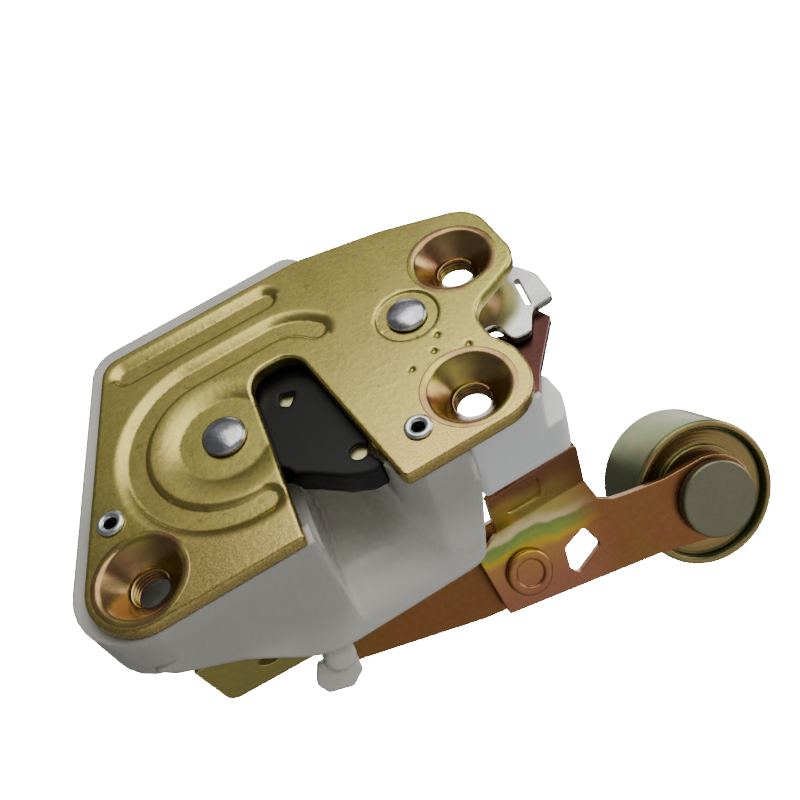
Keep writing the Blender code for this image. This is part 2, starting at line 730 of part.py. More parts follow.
def bracket_tab_outline(margin=0.0):
    """The corner bracket's flat tab, which runs on into a groove in the housing's sloping wall."""
    return rounded(
        [
            (-47.4 - margin, 16.0, 0),
            (-45.9 - margin, 36.2 + margin, 2.6),
            (-27.2, 37.6 + margin, 0.8),
            (-20.0, 30.0, 0),
            (-30.0, 16.0, 0),
        ]
    )


def make_back_plate(paint):
    """The second steel plate: it carries the pivots' rear ends and reaches out past the housing."""
    margin = POCKET_CLEARANCE - GAP
    reach = CLAW_RIM_RADIUS + margin
    outline = arc(CLAW_PIVOT, reach, 62, 122)
    outline += arc(CLAW_PIVOT, CLAW_SHOULDER_RADIUS + margin, 122, 236)
    outline += arc(CLAW_PIVOT, CLAW_TINE_RADIUS + margin, 237, 252)
    outline += [(-22.5, -14.0)]
    outline += [(SLOT_TOP_LEFT_X - 0.9, SLOT_TOP_Z), (SLOT_TOP_LEFT_X + 0.7, SLOT_TOP_Z + 1.5)]
    outline += [(SLOT_TOP_RIGHT_X - 1.0, SLOT_TOP_Z + 1.5), (SLOT_TOP_RIGHT_X + 0.4, SLOT_TOP_Z - 1.1)]
    outline += arc(CLAW_PIVOT, reach, 15, 2)
    outline += back_plate_arm()
    plate = slab("back_plate", outline, BACK_FRONT_Y, BACK_REAR_Y)
    hole(plate, CLAW_PIVOT, CLAW_PIVOT_RADIUS + RUNNING_CLEARANCE, 0, THROUGH)
    hole(plate, PAWL_PIVOT, PAWL_PIVOT_RADIUS + RUNNING_CLEARANCE, 0, THROUGH)
    return finish(plate, paint)


def back_plate_arm():
    """The back plate's arm past the pawl pivot, down to the lever guide."""
    x, z = PAWL_PIVOT
    return [
        (x - 6.8, z - 6.0),
        (x + 1.7, z - 8.0),
        (23.5, -4.5),
        (22.6, -13.5),
        (26.0, -13.5),
        (30.6, -6.4),
        (38.6, 2.6),
        (37.4, 6.0),
        (31.0, 3.6),
        (x + 9.7, z - 5.5),
        (x + 6.7, z + 4.5),
        (x - 1.3, z + 8.3),
        (4.0, 27.5),
        (-7.0, 32.4),
    ]


def make_claw(core_paint, cover_paint):
    origin = on_face(CLAW_PIVOT)
    low = CLAW_FRONT_Y
    high = CLAW_FRONT_Y + CLAW_THICKNESS
    bore = CLAW_PIVOT_RADIUS + RUNNING_CLEARANCE
    core = slab("claw_core", claw_profile(CLAW_WALL + GAP, True), low + CLAW_SKIN + GAP, high - GAP)
    hole(core, CLAW_PIVOT, bore, 0, THROUGH)
    cover = slab("claw_cover", claw_profile(), low, high, bevel=0.4, bevel_low_only=True)
    cut(cover, slab("core_room", claw_profile(CLAW_WALL), low + CLAW_SKIN, high + 1))
    for angle in CLAW_NOTCH_ANGLES:
        window = claw_notch_window(angle)
        cut(cover, slab("notch", window, low - 1, high + 1))
    teardrop = [(-11.2, 13.6), (-8.1, 12.3), (-10.6, 9.8), (-12.1, 11.0)]
    cut(cover, slab("window", rounded([(x, z, 0.5) for x, z in teardrop]), low - 1, high - 3))
    hole(cover, (-4.6, -6.4), 1.65, low - 1, high - 3, count=20)
    hole(cover, CLAW_PIVOT, bore + 0.4, 0, THROUGH)
    return finish(core, core_paint, origin), finish(cover, cover_paint, origin)


def claw_notch_window(angle):
    """The latching notch cut through the moulded cover."""
    floor_radius = CLAW_RIM_RADIUS - CLAW_NOTCH_DEPTH
    return [
        polar(CLAW_PIVOT, floor_radius, angle - 7),
        polar(CLAW_PIVOT, floor_radius, angle),
        polar(CLAW_PIVOT, CLAW_RIM_RADIUS + 2, angle),
        polar(CLAW_PIVOT, CLAW_RIM_RADIUS + 2, angle - 13),
    ]


def make_pawl(paint, lever_paint):
    origin = on_face(PAWL_PIVOT)
    nose = polar(CLAW_PIVOT, CLAW_RIM_RADIUS + GAP, PAWL_NOSE_ANGLE)
    back = polar(CLAW_PIVOT, CLAW_RIM_RADIUS + GAP + 6.5, PAWL_NOSE_ANGLE + 2)
    below = polar(CLAW_PIVOT, CLAW_RIM_RADIUS + GAP + 0.4, PAWL_NOSE_ANGLE - 6)
    outline = [nose, below]
    outline += [polar(CLAW_PIVOT, CLAW_RIM_RADIUS + 2.6, PAWL_NOSE_ANGLE - 20)]
    outline += arc(PAWL_PIVOT, PAWL_BOSS_RADIUS, 200, 430)
    outline += [back]
    pawl = slab("pawl", outline, PAWL_FRONT_Y, PAWL_FRONT_Y + PAWL_THICKNESS, bevel=0.3)
    bore = PAWL_PIVOT_RADIUS + RUNNING_CLEARANCE
    hole(pawl, PAWL_PIVOT, bore, 0, THROUGH)
    corners = [
        (-6.3, -3.5, 5),
        (-0.8, -8.1, 5),
        (9.2, -5.9, 4),
        (13.7, -6.0, 1.5),
        (14.3, -10.9, 1.5),
        (17.9, -11.3, 1.6),
        (20.9, -6.9, 2.0),
        (25.7, -6.7, 1.2),
        (26.3, 0.1, 3.0),
        (23.7, 5.3, 4.0),
        (18.9, 7.1, 2.0),
        (14.9, 1.1, 2.5),
        (8.3, -0.9, 3.0),
        (4.7, 7.5, 6),
        (-5.8, 6.5, 6),
    ]
    lever_outline = [(PAWL_PIVOT[0] + x, PAWL_PIVOT[1] + z) for x, z in rounded(corners)]
    low = RELEASE_FRONT_Y
    lever = slab("release_lever", lever_outline, low, low + RELEASE_GAUGE, bevel=0.25)
    slit_ends = [(22.3, 0.7), (21.1, -5.3)]
    slit = widened_path([(PAWL_PIVOT[0] + x, PAWL_PIVOT[1] + z) for x, z in slit_ends], 0.5)
    cut(lever, slab("slit", slit, 0, THROUGH))
    hole(lever, PAWL_PIVOT, bore, 0, THROUGH)
    return finish(pawl, paint, origin), finish(lever, lever_paint, origin)


def make_pivot(name, place, radius, head_radius, head_height, rear_y, plane, paint, recess):
    """A riveted pivot: domed head in front, plain shank, and a flat peened end behind."""
    dome = [
        (head_radius * math.sin(math.radians(a)), recess - head_height * math.cos(math.radians(a)))
        for a in (0, 22, 45, 68, 90)
    ]
    profile = [(0, dome[0][1])] + dome[1:]
    profile += [
        (head_radius, recess - 0.05),
        (radius, recess - 0.05),
        (radius, rear_y),
        (radius + STUD_CLINCH, rear_y),
        (radius + STUD_CLINCH - 0.3, rear_y + 1.2),
        (0, rear_y + 1.4),
    ]
    return finish(turned(name, profile, place, plane), paint)


def make_eyelet(name, place, paint):
    """A tubular rivet: rolled flare in front, open tube, clinched end behind."""
    rear = HOUSING_FRONT_Y + EYELET_LENGTH
    profile = [
        (EYELET_BORE_RADIUS, rear - 1.5),
        (EYELET_BORE_RADIUS, 0.2),
        (EYELET_BORE_RADIUS + 0.25, -0.45),
        (EYELET_BORE_RADIUS + 0.7, -0.75),
        (EYELET_FLARE_RADIUS - 0.2, -0.6),
        (EYELET_FLARE_RADIUS, -0.3),
        (EYELET_SHANK_RADIUS, -0.3),
        (EYELET_SHANK_RADIUS, rear - 1.5),
    ]
    return finish(turned(name, profile, place, steps=20), paint)


def make_torsion_spring(name, place, radius, wire, turns, start_depth, legs, plane, paint):
    """A round-wire torsion spring: a helix with two straight legs, as one swept tube."""
    points = []
    count = int(turns * SPRING_STEPS)
    pitch = wire * 1.25
    for i in range(count + 1):
        turn = i / SPRING_STEPS
        x, z = polar(place, radius, legs[0] + 360 * turn)
        points.append(plane @ Vector((x, z, start_depth + pitch * turn)))
    leg_length = legs[1]
    first = polar((0, 0), leg_length, legs[0] - 90)
    last_angle = legs[0] + 360 * turns
    last = polar((0, 0), leg_length, last_angle + 90)
    x, z = polar(place, radius, legs[0])
    points.insert(0, plane @ Vector((x + first[0], z + first[1], start_depth)))
    x, z = polar(place, radius, last_angle)
    points.append(plane @ Vector((x + last[0], z + last[1], start_depth + pitch * turns)))
    curve = bpy.data.curves.new(name, "CURVE")
    curve.dimensions = "3D"
    curve.bevel_depth = wire / 2 * MM
    curve.bevel_resolution = 1
    curve.use_fill_caps = True
    spline = curve.splines.new("POLY")
    spline.points.add(len(points) - 1)
    for target, point in zip(spline.points, points):
        target.co = (*(point * MM), 1)
    guide = bpy.data.objects.new(name + "_guide", curve)
    bpy.context.scene.collection.objects.link(guide)
    graph = bpy.context.evaluated_depsgraph_get()
    mesh = bpy.data.meshes.new_from_object(guide.evaluated_get(graph))
    bpy.data.objects.remove(guide)
    bm = bmesh.new()
    bm.from_mesh(mesh)
    bmesh.ops.remove_doubles(bm, verts=bm.verts, dist=0.00001)
    bmesh.ops.recalc_face_normals(bm, faces=bm.faces)
    bm.to_mesh(mesh)
    bm.free()
    spring = bpy.data.objects.new(name, mesh)
    bpy.context.scene.collection.objects.link(spring)
    return finish(spring, paint)


def make_lever_guide(paint):
    """The nylon block beside the mouth, which holds the lower screw's collar."""
    outline = rounded(
        [
            (GUIDE_LEFT_X, GUIDE_BOTTOM_Z, 0.8),
            (GUIDE_RIGHT_X - 1.6, GUIDE_BOTTOM_Z, 2.2),
            (GUIDE_RIGHT_X + 0.2, GUIDE_BOTTOM_Z + 4.7, 2.5),
            (GUIDE_RIGHT_X + 0.1, GUIDE_TOP_Z - 2.2, 2.0),
            (GUIDE_RIGHT_X - 2.6, GUIDE_TOP_Z, 2.0),
            (GUIDE_LEFT_X, GUIDE_TOP_Z, 1.0),
        ]
    )
    block = slab("lever_guide", outline, GUIDE_FRONT_Y, GUIDE_REAR_Y, bevel=0.4)
    lip = slab(
        "lip",
        [
            (GUIDE_LEFT_X, GUIDE_BOTTOM_Z),
            (GUIDE_RIGHT_X - 5.6, GUIDE_BOTTOM_Z),
            (GUIDE_RIGHT_X - 5.6, GUIDE_BOTTOM_Z + GUIDE_LIP),
            (GUIDE_LEFT_X, GUIDE_BOTTOM_Z + GUIDE_LIP),
        ],
        HOUSING_FRONT_Y,
        GUIDE_FRONT_Y + 2,
    )
    join(block, lip)
    place = SCREW_PLACES["lower"]
    cut(block, screw_room(place))
    half = SCREW_ROOM_RADIUS + 0.2
    channel = rounded(
        [
            (place[0] - half, GUIDE_TOP_Z + 9, 0),
            (place[0] + half, GUIDE_TOP_Z + 9, 0),
            (place[0] + half, place[1] - half, half - 0.1),
            (place[0] - half, place[1] - half, half - 0.1),
        ]
    )
    cut(block, slab("channel", channel, 0, THROUGH))
    return finish(block, paint)


def make_roller_lever(paint):
    """One sheet: a flat flange beside the mouth, a fold, and the arm that carries the roller."""
    far = SHEET @ Vector((0, 30.0, 0))
    section = folded_section(
        (FLANGE_FRONT_Y - 4, FOLD_Z), (FOLD_Y, FOLD_Z), (far.y, far.z), LEVER_BEND, LEVER_GAUGE, 1
    )
    lever = slab("roller_lever", section, LEVER_LEFT_U - 5, ROLLER_PLACE[0] + 20, SECTION)
    flange = rounded(
        [
            (LEVER_LEFT_U + 5.4, FLANGE_FRONT_Y + 1.5, 1.0),
            (LEVER_FLANGE_RIGHT_U - 0.5, FLANGE_FRONT_Y, 1.2),
            (LEVER_FLANGE_RIGHT_U, FOLD_Y + 2, 0),
            (LEVER_LEFT_U + 5.4, FOLD_Y + 2, 0),
        ]
    )
    blank = slab("blank", flange, FOLD_Z - 4, FOLD_Z + 4, MOUTH)
    join(blank, slab("arm", roller_arm_outline(), -4, 4, SHEET))
    combine(lever, blank, "INTERSECT")
    hole(lever, LEVER_PIVOT, LEVER_PIVOT_RADIUS + RUNNING_CLEARANCE, -5, 5, SHEET)
    hole(lever, ROLLER_PLACE, PIN_RADIUS + GAP, -5, 5, SHEET)
    diamond = [(26.8, 8.1), (21.8, 9.8), (20.9, 13.9), (22.0, 15.9), (28.5, 13.0)]
    cut(lever, slab("diamond", rounded([(u, v, 0.7) for u, v in diamond]), -5, 5, SHEET))
    window = rounded([(14.5, 25.5, 1.5), (22.0, 25.5, 1.5), (22.0, 33.0, 1.5), (14.5, 33.0, 1.5)])
    cut(lever, slab("window", window, FOLD_Z - 3, FOLD_Z + 0.6, MOUTH))
    return finish(lever, paint, on_sheet(LEVER_PIVOT))


def roller_arm_outline():
    """The arm on the folded plane, from the fold to the round end at the roller."""
    return (
        [(LEVER_LEFT_U, 3.0), (LEVER_LEFT_U + 5.4, 0.0), (LEVER_FLANGE_RIGHT_U, 0.0)]
        + [(32.0, 4.6), (34.5, 6.2), (38.0, 7.0), (41.5, 7.6), (45.5, 8.3)]
        + arc(ROLLER_PLACE, 8.6, 262, 460)[1:-1]
        + [(38.1, 21.3), (23.2, 18.6), (LEVER_LEFT_U + 0.4, 15.6)]
    )


def make_roller_parts(roller_paint, pin_paint, bush_paint):
    depth = ROLLER_STANDOFF
    far = depth + ROLLER_WIDTH
    inner = ROLLER_RADIUS - ROLLER_RIM
    bore = ROLLER_BORE_RADIUS + 0.9
    profile = [
        (bore, depth + 1.2),
        (ROLLER_HUB_RADIUS, depth + 1.2),
        (ROLLER_HUB_RADIUS + 0.4, depth + ROLLER_RECESS),
        (inner - 0.6, depth + ROLLER_RECESS),
        (inner, depth + ROLLER_RECESS - 0.6),
        (inner, depth + 0.3),
        (inner + 0.4, depth),
        (ROLLER_RADIUS - 0.5, depth),
        (ROLLER_RADIUS, depth + 0.5),
        (ROLLER_RADIUS, far - 0.5),
        (ROLLER_RADIUS - 0.5, far),
        (inner, far),
        (inner - 0.4, far - ROLLER_RECESS),
        (ROLLER_HUB_RADIUS, far - ROLLER_RECESS),
        (ROLLER_HUB_RADIUS - 0.3, far - 0.6),
        (bore, far - 0.6),
    ]
    origin = on_sheet(ROLLER_PLACE)
    roller = turned("roller", profile, ROLLER_PLACE, SHEET, steps=44)
    bush_profile = [
        (PIN_RADIUS + RUNNING_CLEARANCE, depth + 0.3),
        (bore - GAP, depth + 0.3),
        (bore - GAP, far - 0.3),
        (PIN_RADIUS + RUNNING_CLEARANCE, far - 0.3),
    ]
    bush = turned("roller_bush", bush_profile, ROLLER_PLACE, SHEET)
    pin_profile = [
        (0, -PIN_HEAD_HEIGHT - GAP),
        (PIN_HEAD_RADIUS - 0.8, -PIN_HEAD_HEIGHT - GAP),
        (PIN_HEAD_RADIUS, -PIN_HEAD_HEIGHT - GAP + 0.8),
        (PIN_HEAD_RADIUS, -GAP),
        (PIN_RADIUS, -GAP),
        (PIN_RADIUS, far + 0.3),
        (PIN_RADIUS + 2.2, far + 0.3),
        (PIN_RADIUS + 1.8, far + 1.8),
        (0, far + 2.0),
    ]
    pin = turned("roller_pin", pin_profile, ROLLER_PLACE, SHEET, steps=30)
    return (
        finish(roller, roller_paint, origin),
        finish(bush, bush_paint, origin),
        finish(pin, pin_paint, origin),
    )


def make_carrier_plate(paint):
    """The chassis sheet behind the housing: upright against its rear, then folded down and back."""
    low = CARRIER_STANDOFF
    upright_y = BOX_REAR_Y + GAP
    tilt = math.radians(LEVER_TILT)
    fold_v = (upright_y - FOLD_Y - low * math.sin(tilt)) / math.cos(tilt)
    fold = SHEET @ Vector((0, fold_v, low))
    far = SHEET @ Vector((0, 25.0, low))
    section = folded_section(
        (fold.y, 20.0), (fold.y, fold.z), (far.y, far.z), LEVER_BEND, CARRIER_GAUGE, 1
    )
    carrier = slab("carrier_plate", section, -40, 30, SECTION)
    arm = rounded(
        [
            (-27.5, fold_v - 1, 0),
            (20.5, fold_v - 1, 0),
            (20.5, 17.0, 3.0),
            (3.9, 15.9, 20.0),
            (-22.3, 9.2, 3.0),
            (-29.2, 8.3, 2.0),
        ]
    )
    upright = rounded(
        [
            (-27.5, fold.z - 2, 0),
            (6.0, fold.z - 2, 0),
            (6.0, 14.0, 4.0),
            (-24.0, 14.0, 4.0),
        ]
    )
    blank = slab("blank", arm, low - 3, low + 3, SHEET)
    join(blank, slab("upright", upright, fold.y - 3, fold.y + 4))
    combine(carrier, blank, "INTERSECT")
    hole(carrier, LEVER_PIVOT, LEVER_PIVOT_RADIUS + RUNNING_CLEARANCE, 0, 8, SHEET)
    hole(carrier, CLIP_BOSS_PLACE, CLIP_PIN_RADIUS + RUNNING_CLEARANCE, 0, 8, SHEET)
    return finish(carrier, paint)


def make_corner_bracket(paint):
    """The flat steel tab at the lower left, seated in the housing's sloping wall."""
    bracket = slab(
        "corner_bracket", bracket_tab_outline(), BRACKET_Z, BRACKET_Z + LEVER_GAUGE, MOUTH
    )
    cut(bracket, slab("wall", box_outline(BRACKET_SEAT), BRACKET_Z - 2, BRACKET_Z + 4, MOUTH))
    cut(bracket, slab("front", [(-60, 0), (0, 0), (0, 21.0), (-60, 21.0)], -THROUGH, 0, MOUTH))
    hole(bracket, BRACKET_HOLE_PLACE, BRACKET_HOLE_RADIUS, -THROUGH, 0, MOUTH, 20)
    return finish(bracket, paint)


def make_rod_clip(paint):
    """The nylon rod clip: a snap boss through the carrier plate and a flat hooked body."""
    low = CARRIER_STANDOFF
    body = rounded(
        [
            (-29.8, 4.6, 1.2),
            (-31.8, 8.2, 0.8),
            (-30.6, 10.8, 0.6),
            (-25.9, 12.2, 0.8),
            (-22.9, 10.2, 0.8),
            (-22.4, 6.4, 1.6),
        ]
    )
    clip = slab("rod_clip", body, low - GAP - 1.6, low - GAP, SHEET)
    boss = [
        (0, low - GAP - 2.6),
        (CLIP_BOSS_RADIUS - 0.5, low - GAP - 2.6),
        (CLIP_BOSS_RADIUS, low - GAP - 2.2),
        (CLIP_BOSS_RADIUS, low - GAP - 1.0),
        (CLIP_PIN_RADIUS, low - GAP - 1.0),
        (CLIP_PIN_RADIUS, low + CARRIER_GAUGE + GAP),
        (CLIP_PIN_RADIUS + 0.8, low + CARRIER_GAUGE + GAP),
        (CLIP_PIN_RADIUS - 0.6, low + CARRIER_GAUGE + 3.0),
        (0, low + CARRIER_GAUGE + 3.0),
    ]
    join(clip, turned("boss", boss, CLIP_BOSS_PLACE, SHEET, steps=20))
    return finish(clip, paint, on_sheet(CLIP_BOSS_PLACE))


def make_lever_pivot(paint):
    """The riveted stud that joins the roller lever to the carrier plate."""
    rear = CARRIER_STANDOFF + CARRIER_GAUGE
    profile = [
        (0, -0.9),
        (LEVER_RING_RADIUS - 1.6, -1.2),
        (LEVER_RING_RADIUS - 0.6, -1.4),
        (LEVER_RING_RADIUS, -0.9),
        (LEVER_RING_RADIUS, -GAP),
        (LEVER_PIVOT_RADIUS, -GAP),
        (LEVER_PIVOT_RADIUS, LEVER_GAUGE + GAP),
        (LEVER_PIVOT_RADIUS + 1.4, LEVER_GAUGE + GAP),
        (LEVER_PIVOT_RADIUS + 1.4, CARRIER_STANDOFF - GAP),
        (LEVER_PIVOT_RADIUS, CARRIER_STANDOFF - GAP),
        (LEVER_PIVOT_RADIUS, rear + 5.6),
        (LEVER_PIVOT_RADIUS + 1.8, rear + 5.6),
        (LEVER_PIVOT_RADIUS + 1.4, rear + 6.6),
        (0, rear + 6.8),
    ]
    return finish(turned("lever_pivot", profile, LEVER_PIVOT, SHEET, steps=20), paint)


def clear_scene():
    for item in list(bpy.data.objects):
        bpy.data.objects.remove(item)


def build():
    clear_scene()
    yellow_zinc = material("yellow_zinc", (0.62, 0.52, 0.27), 0.38, 0.9)
    rose_zinc = material("rose_zinc", (0.55, 0.36, 0.24), 0.38, 0.9)
    olive_zinc = material("olive_zinc", (0.55, 0.56, 0.36), 0.35, 0.9)
    bright_steel = material("bright_steel", (0.62, 0.62, 0.63), 0.32, 1.0)
    silver_zinc = material("silver_zinc", (0.72, 0.73, 0.73), 0.3, 1.0)
    white_nylon = material("white_nylon", (0.82, 0.82, 0.8), 0.45, 0.0)
    black_nylon = material("black_nylon", (0.02, 0.02, 0.022), 0.42, 0.0)
    spring_steel = material("spring_steel", (0.36, 0.35, 0.33), 0.35, 1.0)
    make_face_plate(yellow_zinc)
    make_housing(white_nylon)
    make_back_plate(rose_zinc)
    make_claw(yellow_zinc, black_nylon)
    make_pawl(yellow_zinc, silver_zinc)
    make_pivot(
        "claw_pivot",
        CLAW_PIVOT,
        CLAW_PIVOT_RADIUS,
        CLAW_HEAD_RADIUS,
        CLAW_HEAD_HEIGHT,
        BACK_REAR_Y + CLAW_STUD_LENGTH,
        FACE,
        bright_steel,
        PAD_DEPTH - GAP,
    )
    make_pivot(
        "pawl_pivot",
        PAWL_PIVOT,
        PAWL_PIVOT_RADIUS,
        PAWL_HEAD_RADIUS,
        PAWL_HEAD_HEIGHT,
        BACK_REAR_Y + PAWL_STUD_LENGTH,
        FACE,
        bright_steel,
        PAWL_PAD_DEPTH - GAP,
    )
    for side, place in EYELET_PLACES.items():
        make_eyelet("tubular_rivet_" + side, place, silver_zinc)
    make_torsion_spring(
        "claw_spring", CLAW_PIVOT, 4.6, 1.2, 3.5, BACK_REAR_Y + 3.9, (200, 6), FACE, spring_steel
    )
    make_torsion_spring(
        "pawl_spring",
        PAWL_PIVOT,
        PAWL_SPRING_RADIUS,
        PAWL_SPRING_WIRE,
        3.5,
        BACK_REAR_Y + 1.0,
        (PAWL_SPRING_LEG_ANGLE + 90, PAWL_SPRING_LEG),
        FACE,
        spring_steel,
    )
    spring_start = CARRIER_STANDOFF + CARRIER_GAUGE + 0.8
    make_torsion_spring(
        "lever_spring", LEVER_PIVOT, 4.0, 1.0, 3.25, spring_start, (150, 6), SHEET, spring_steel
    )
    make_lever_guide(white_nylon)
    make_roller_lever(rose_zinc)
    make_roller_parts(olive_zinc, bright_steel, spring_steel)
    make_carrier_plate(rose_zinc)
    make_corner_bracket(yellow_zinc)
    make_rod_clip(white_nylon)
    make_lever_pivot(rose_zinc)


build()
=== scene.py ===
# %% [markdown]
# # Dressing a sliding door lock
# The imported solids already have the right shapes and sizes. This script gives them the finishes of the
# real lock: yellow chromated zinc on pressed steel, milky nylon, satin black nylon and bright rivets. It
# also makes the pressed face plate and the round pieces again with finer forms, and adds the threads, which
# are too small for the solids. Blender's unit is the metre, and sizes here are written in millimetres.

import json
import math

import bmesh
import bpy
import numpy as np
from mathutils import Matrix, Vector
from mathutils.geometry import delaunay_2d_cdt


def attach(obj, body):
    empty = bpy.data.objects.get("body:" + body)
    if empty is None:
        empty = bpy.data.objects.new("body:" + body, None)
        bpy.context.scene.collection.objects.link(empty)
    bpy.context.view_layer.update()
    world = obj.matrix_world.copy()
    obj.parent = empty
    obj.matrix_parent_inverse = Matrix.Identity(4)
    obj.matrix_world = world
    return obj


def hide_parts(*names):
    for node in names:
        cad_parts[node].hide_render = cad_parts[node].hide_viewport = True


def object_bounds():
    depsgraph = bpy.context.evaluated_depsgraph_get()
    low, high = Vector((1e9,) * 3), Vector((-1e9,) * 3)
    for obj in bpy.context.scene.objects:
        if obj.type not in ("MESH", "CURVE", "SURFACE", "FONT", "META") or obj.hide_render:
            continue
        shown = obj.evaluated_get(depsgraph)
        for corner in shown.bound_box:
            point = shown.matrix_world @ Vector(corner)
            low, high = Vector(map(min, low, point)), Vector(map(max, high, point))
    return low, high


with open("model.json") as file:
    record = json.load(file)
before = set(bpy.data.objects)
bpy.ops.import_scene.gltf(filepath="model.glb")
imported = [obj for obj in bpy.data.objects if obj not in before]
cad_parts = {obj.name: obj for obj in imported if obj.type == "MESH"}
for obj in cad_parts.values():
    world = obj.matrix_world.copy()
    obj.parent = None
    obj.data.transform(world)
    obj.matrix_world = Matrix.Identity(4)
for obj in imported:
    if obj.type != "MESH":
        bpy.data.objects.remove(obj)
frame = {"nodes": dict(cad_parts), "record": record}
cad_low, cad_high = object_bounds()
MM = 0.001
print("solids:", len(frame["nodes"]), "box mm:", [round(v / MM, 1) for v in cad_high - cad_low])

# %% [markdown]
# ## Where the camera stands
# The photograph looks up at the lock from below its mouth edge, with the camera rolled a little. The
# camera is set by its place and three directions, which form a rotation matrix: its columns are the
# camera's right, its up, and the direction back out of the picture.

# %% Camera
CAMERA_PLACE = Vector((-14.2, -129.9, -106.9)) * MM
CAMERA_RIGHT = Vector((0.86026, 0.22871, -0.45568))
CAMERA_UP = Vector((0.49592, -0.58291, 0.64365))
CAMERA_BACK = Vector((-0.11841, -0.77969, -0.61487))

lens = bpy.data.cameras.new("photo_camera")
lens.lens = 45.0
lens.sensor_width = 36.0
lens.clip_start = 0.005
camera = bpy.data.objects.new("photo_camera", lens)
turn = Matrix((CAMERA_RIGHT, CAMERA_UP, CAMERA_BACK)).transposed().to_4x4()
camera.matrix_world = Matrix.Translation(CAMERA_PLACE) @ turn
bpy.context.scene.collection.objects.link(camera)
bpy.context.scene.camera = camera
print("camera is", round(CAMERA_PLACE.length / MM), "mm from the middle of the mounting face")

# %% [markdown]
# ## Studio light
# Plated steel shows mostly what it reflects, so the panels are placed by the reflections that they give.
# A broad panel in front, to the right, lights each slope that leans towards the mouth or to the right, such
# as the outer rolls of the ribs and the rims of the screw cones. A much dimmer one gives the flat plate its
# tone. One at the right lights the lever guide, and one above and behind lights the top of the roller. The
# room below and to the left stays dim, so slopes that face it go dark. The floor is far below, because the
# lock is held by its mounting face. The room's light is weak, and only the camera sees it as pure white.

# %% Light panels, world and floor
LOCK_CENTRE = (cad_low + cad_high) / 2


def light_panel(name, towards, distance, size, radiance, colour):
    """A square area light of a given brightness, seen from the lock's centre in one direction."""
    lamp = bpy.data.lights.new(name, "AREA")
    lamp.size = size
    lamp.energy = radiance * math.pi * size**2
    lamp.color = colour
    panel = bpy.data.objects.new(name, lamp)
    away = Vector(towards).normalized()
    panel.location = LOCK_CENTRE + away * distance
    panel.rotation_mode = "QUATERNION"
    panel.rotation_quaternion = (-away).to_track_quat("-Z", "Y")
    bpy.context.scene.collection.objects.link(panel)
    return panel


light_panel("front_panel", (0.38, -0.90, 0.16), 0.45, 0.46, 2.7, (1.0, 0.98, 0.93))
light_panel("plate_panel", (0.07, -0.78, 0.61), 0.50, 0.34, 0.28, (1.0, 1.0, 0.97))
light_panel("right_panel", (0.95, -0.10, -0.10), 0.50, 0.36, 3.4, (1.0, 0.99, 0.97))
light_panel("top_panel", (0.35, 0.34, 0.87), 0.50, 0.50, 1.9, (0.97, 0.99, 1.0))

world = bpy.data.worlds.new("pale_room")
bpy.context.scene.world = world
world.use_nodes = True
room = world.node_tree
dim_light = room.nodes["Background"]
dim_light.inputs["Color"].default_value = (0.93, 0.95, 1.0, 1.0)
dim_light.inputs["Strength"].default_value = 0.17
white_view = room.nodes.new("ShaderNodeBackground")
white_view.inputs["Color"].default_value = (1.0, 1.0, 1.0, 1.0)
white_view.inputs["Strength"].default_value = 40.0
ray_kind = room.nodes.new("ShaderNodeLightPath")
either = room.nodes.new("ShaderNodeMixShader")
room.links.new(ray_kind.outputs["Is Camera Ray"], either.inputs[0])
room.links.new(dim_light.outputs[0], either.inputs[1])
room.links.new(white_view.outputs[0], either.inputs[2])
room.links.new(either.outputs[0], room.nodes["World Output"].inputs[0])

FLOOR_REACH = 1500 * MM
FLOOR_HEIGHT = -420 * MM
floor_mesh = bpy.data.meshes.new("floor")
flat = bmesh.new()
bmesh.ops.create_grid(flat, x_segments=1, y_segments=1, size=FLOOR_REACH)
bmesh.ops.translate(flat, verts=flat.verts, vec=(0, 0, FLOOR_HEIGHT))
flat.to_mesh(floor_mesh)
flat.free()
floor = bpy.data.objects.new("floor", floor_mesh)
bpy.context.scene.collection.objects.link(floor)
floor_paint = bpy.data.materials.new("pale_floor")
floor_paint.use_nodes = True
floor_shader = floor_paint.node_tree.nodes["Principled BSDF"]
floor_shader.inputs["Base Color"].default_value = (0.86, 0.86, 0.86, 1)
floor_shader.inputs["Roughness"].default_value = 0.8
floor_mesh.materials.append(floor_paint)

# %% [markdown]
# ## Small helpers for shader nodes
# A node tree is easier to read when each node is made in one line. `add` makes a node and either sets or
# links each input, `mixed` blends two colours, and `sum_of` is one step of arithmetic.

# %% Node helpers


def add(tree, kind, inputs=None, **settings):
    """A node with its properties set, and each input set to a value or linked to a socket."""
    node = tree.nodes.new(kind)
    for key, value in settings.items():
        setattr(node, key, value)
    for key, value in (inputs or {}).items():
        if isinstance(value, bpy.types.NodeSocket):
            tree.links.new(value, node.inputs[key])
        else:
            node.inputs[key].default_value = value
    return node


def mixed(tree, factor, first, second):
    """The blend of two colours by a factor."""
    return add(tree, "ShaderNodeMix", {0: factor, 6: first, 7: second}, data_type="RGBA").outputs[2]


def sum_of(tree, operation, first, second=0.0):
    """One step of arithmetic on one or two numbers, named by Blender's word for it."""
    return add(tree, "ShaderNodeMath", {0: first, 1: second}, operation=operation).outputs[0]


def between(tree, value, low, high):
    """0 below low, 1 above high, and a smooth step between them."""
    inputs = {"Value": value, "From Min": low, "From Max": high}
    return add(tree, "ShaderNodeMapRange", inputs, interpolation_type="SMOOTHSTEP").outputs["Result"]


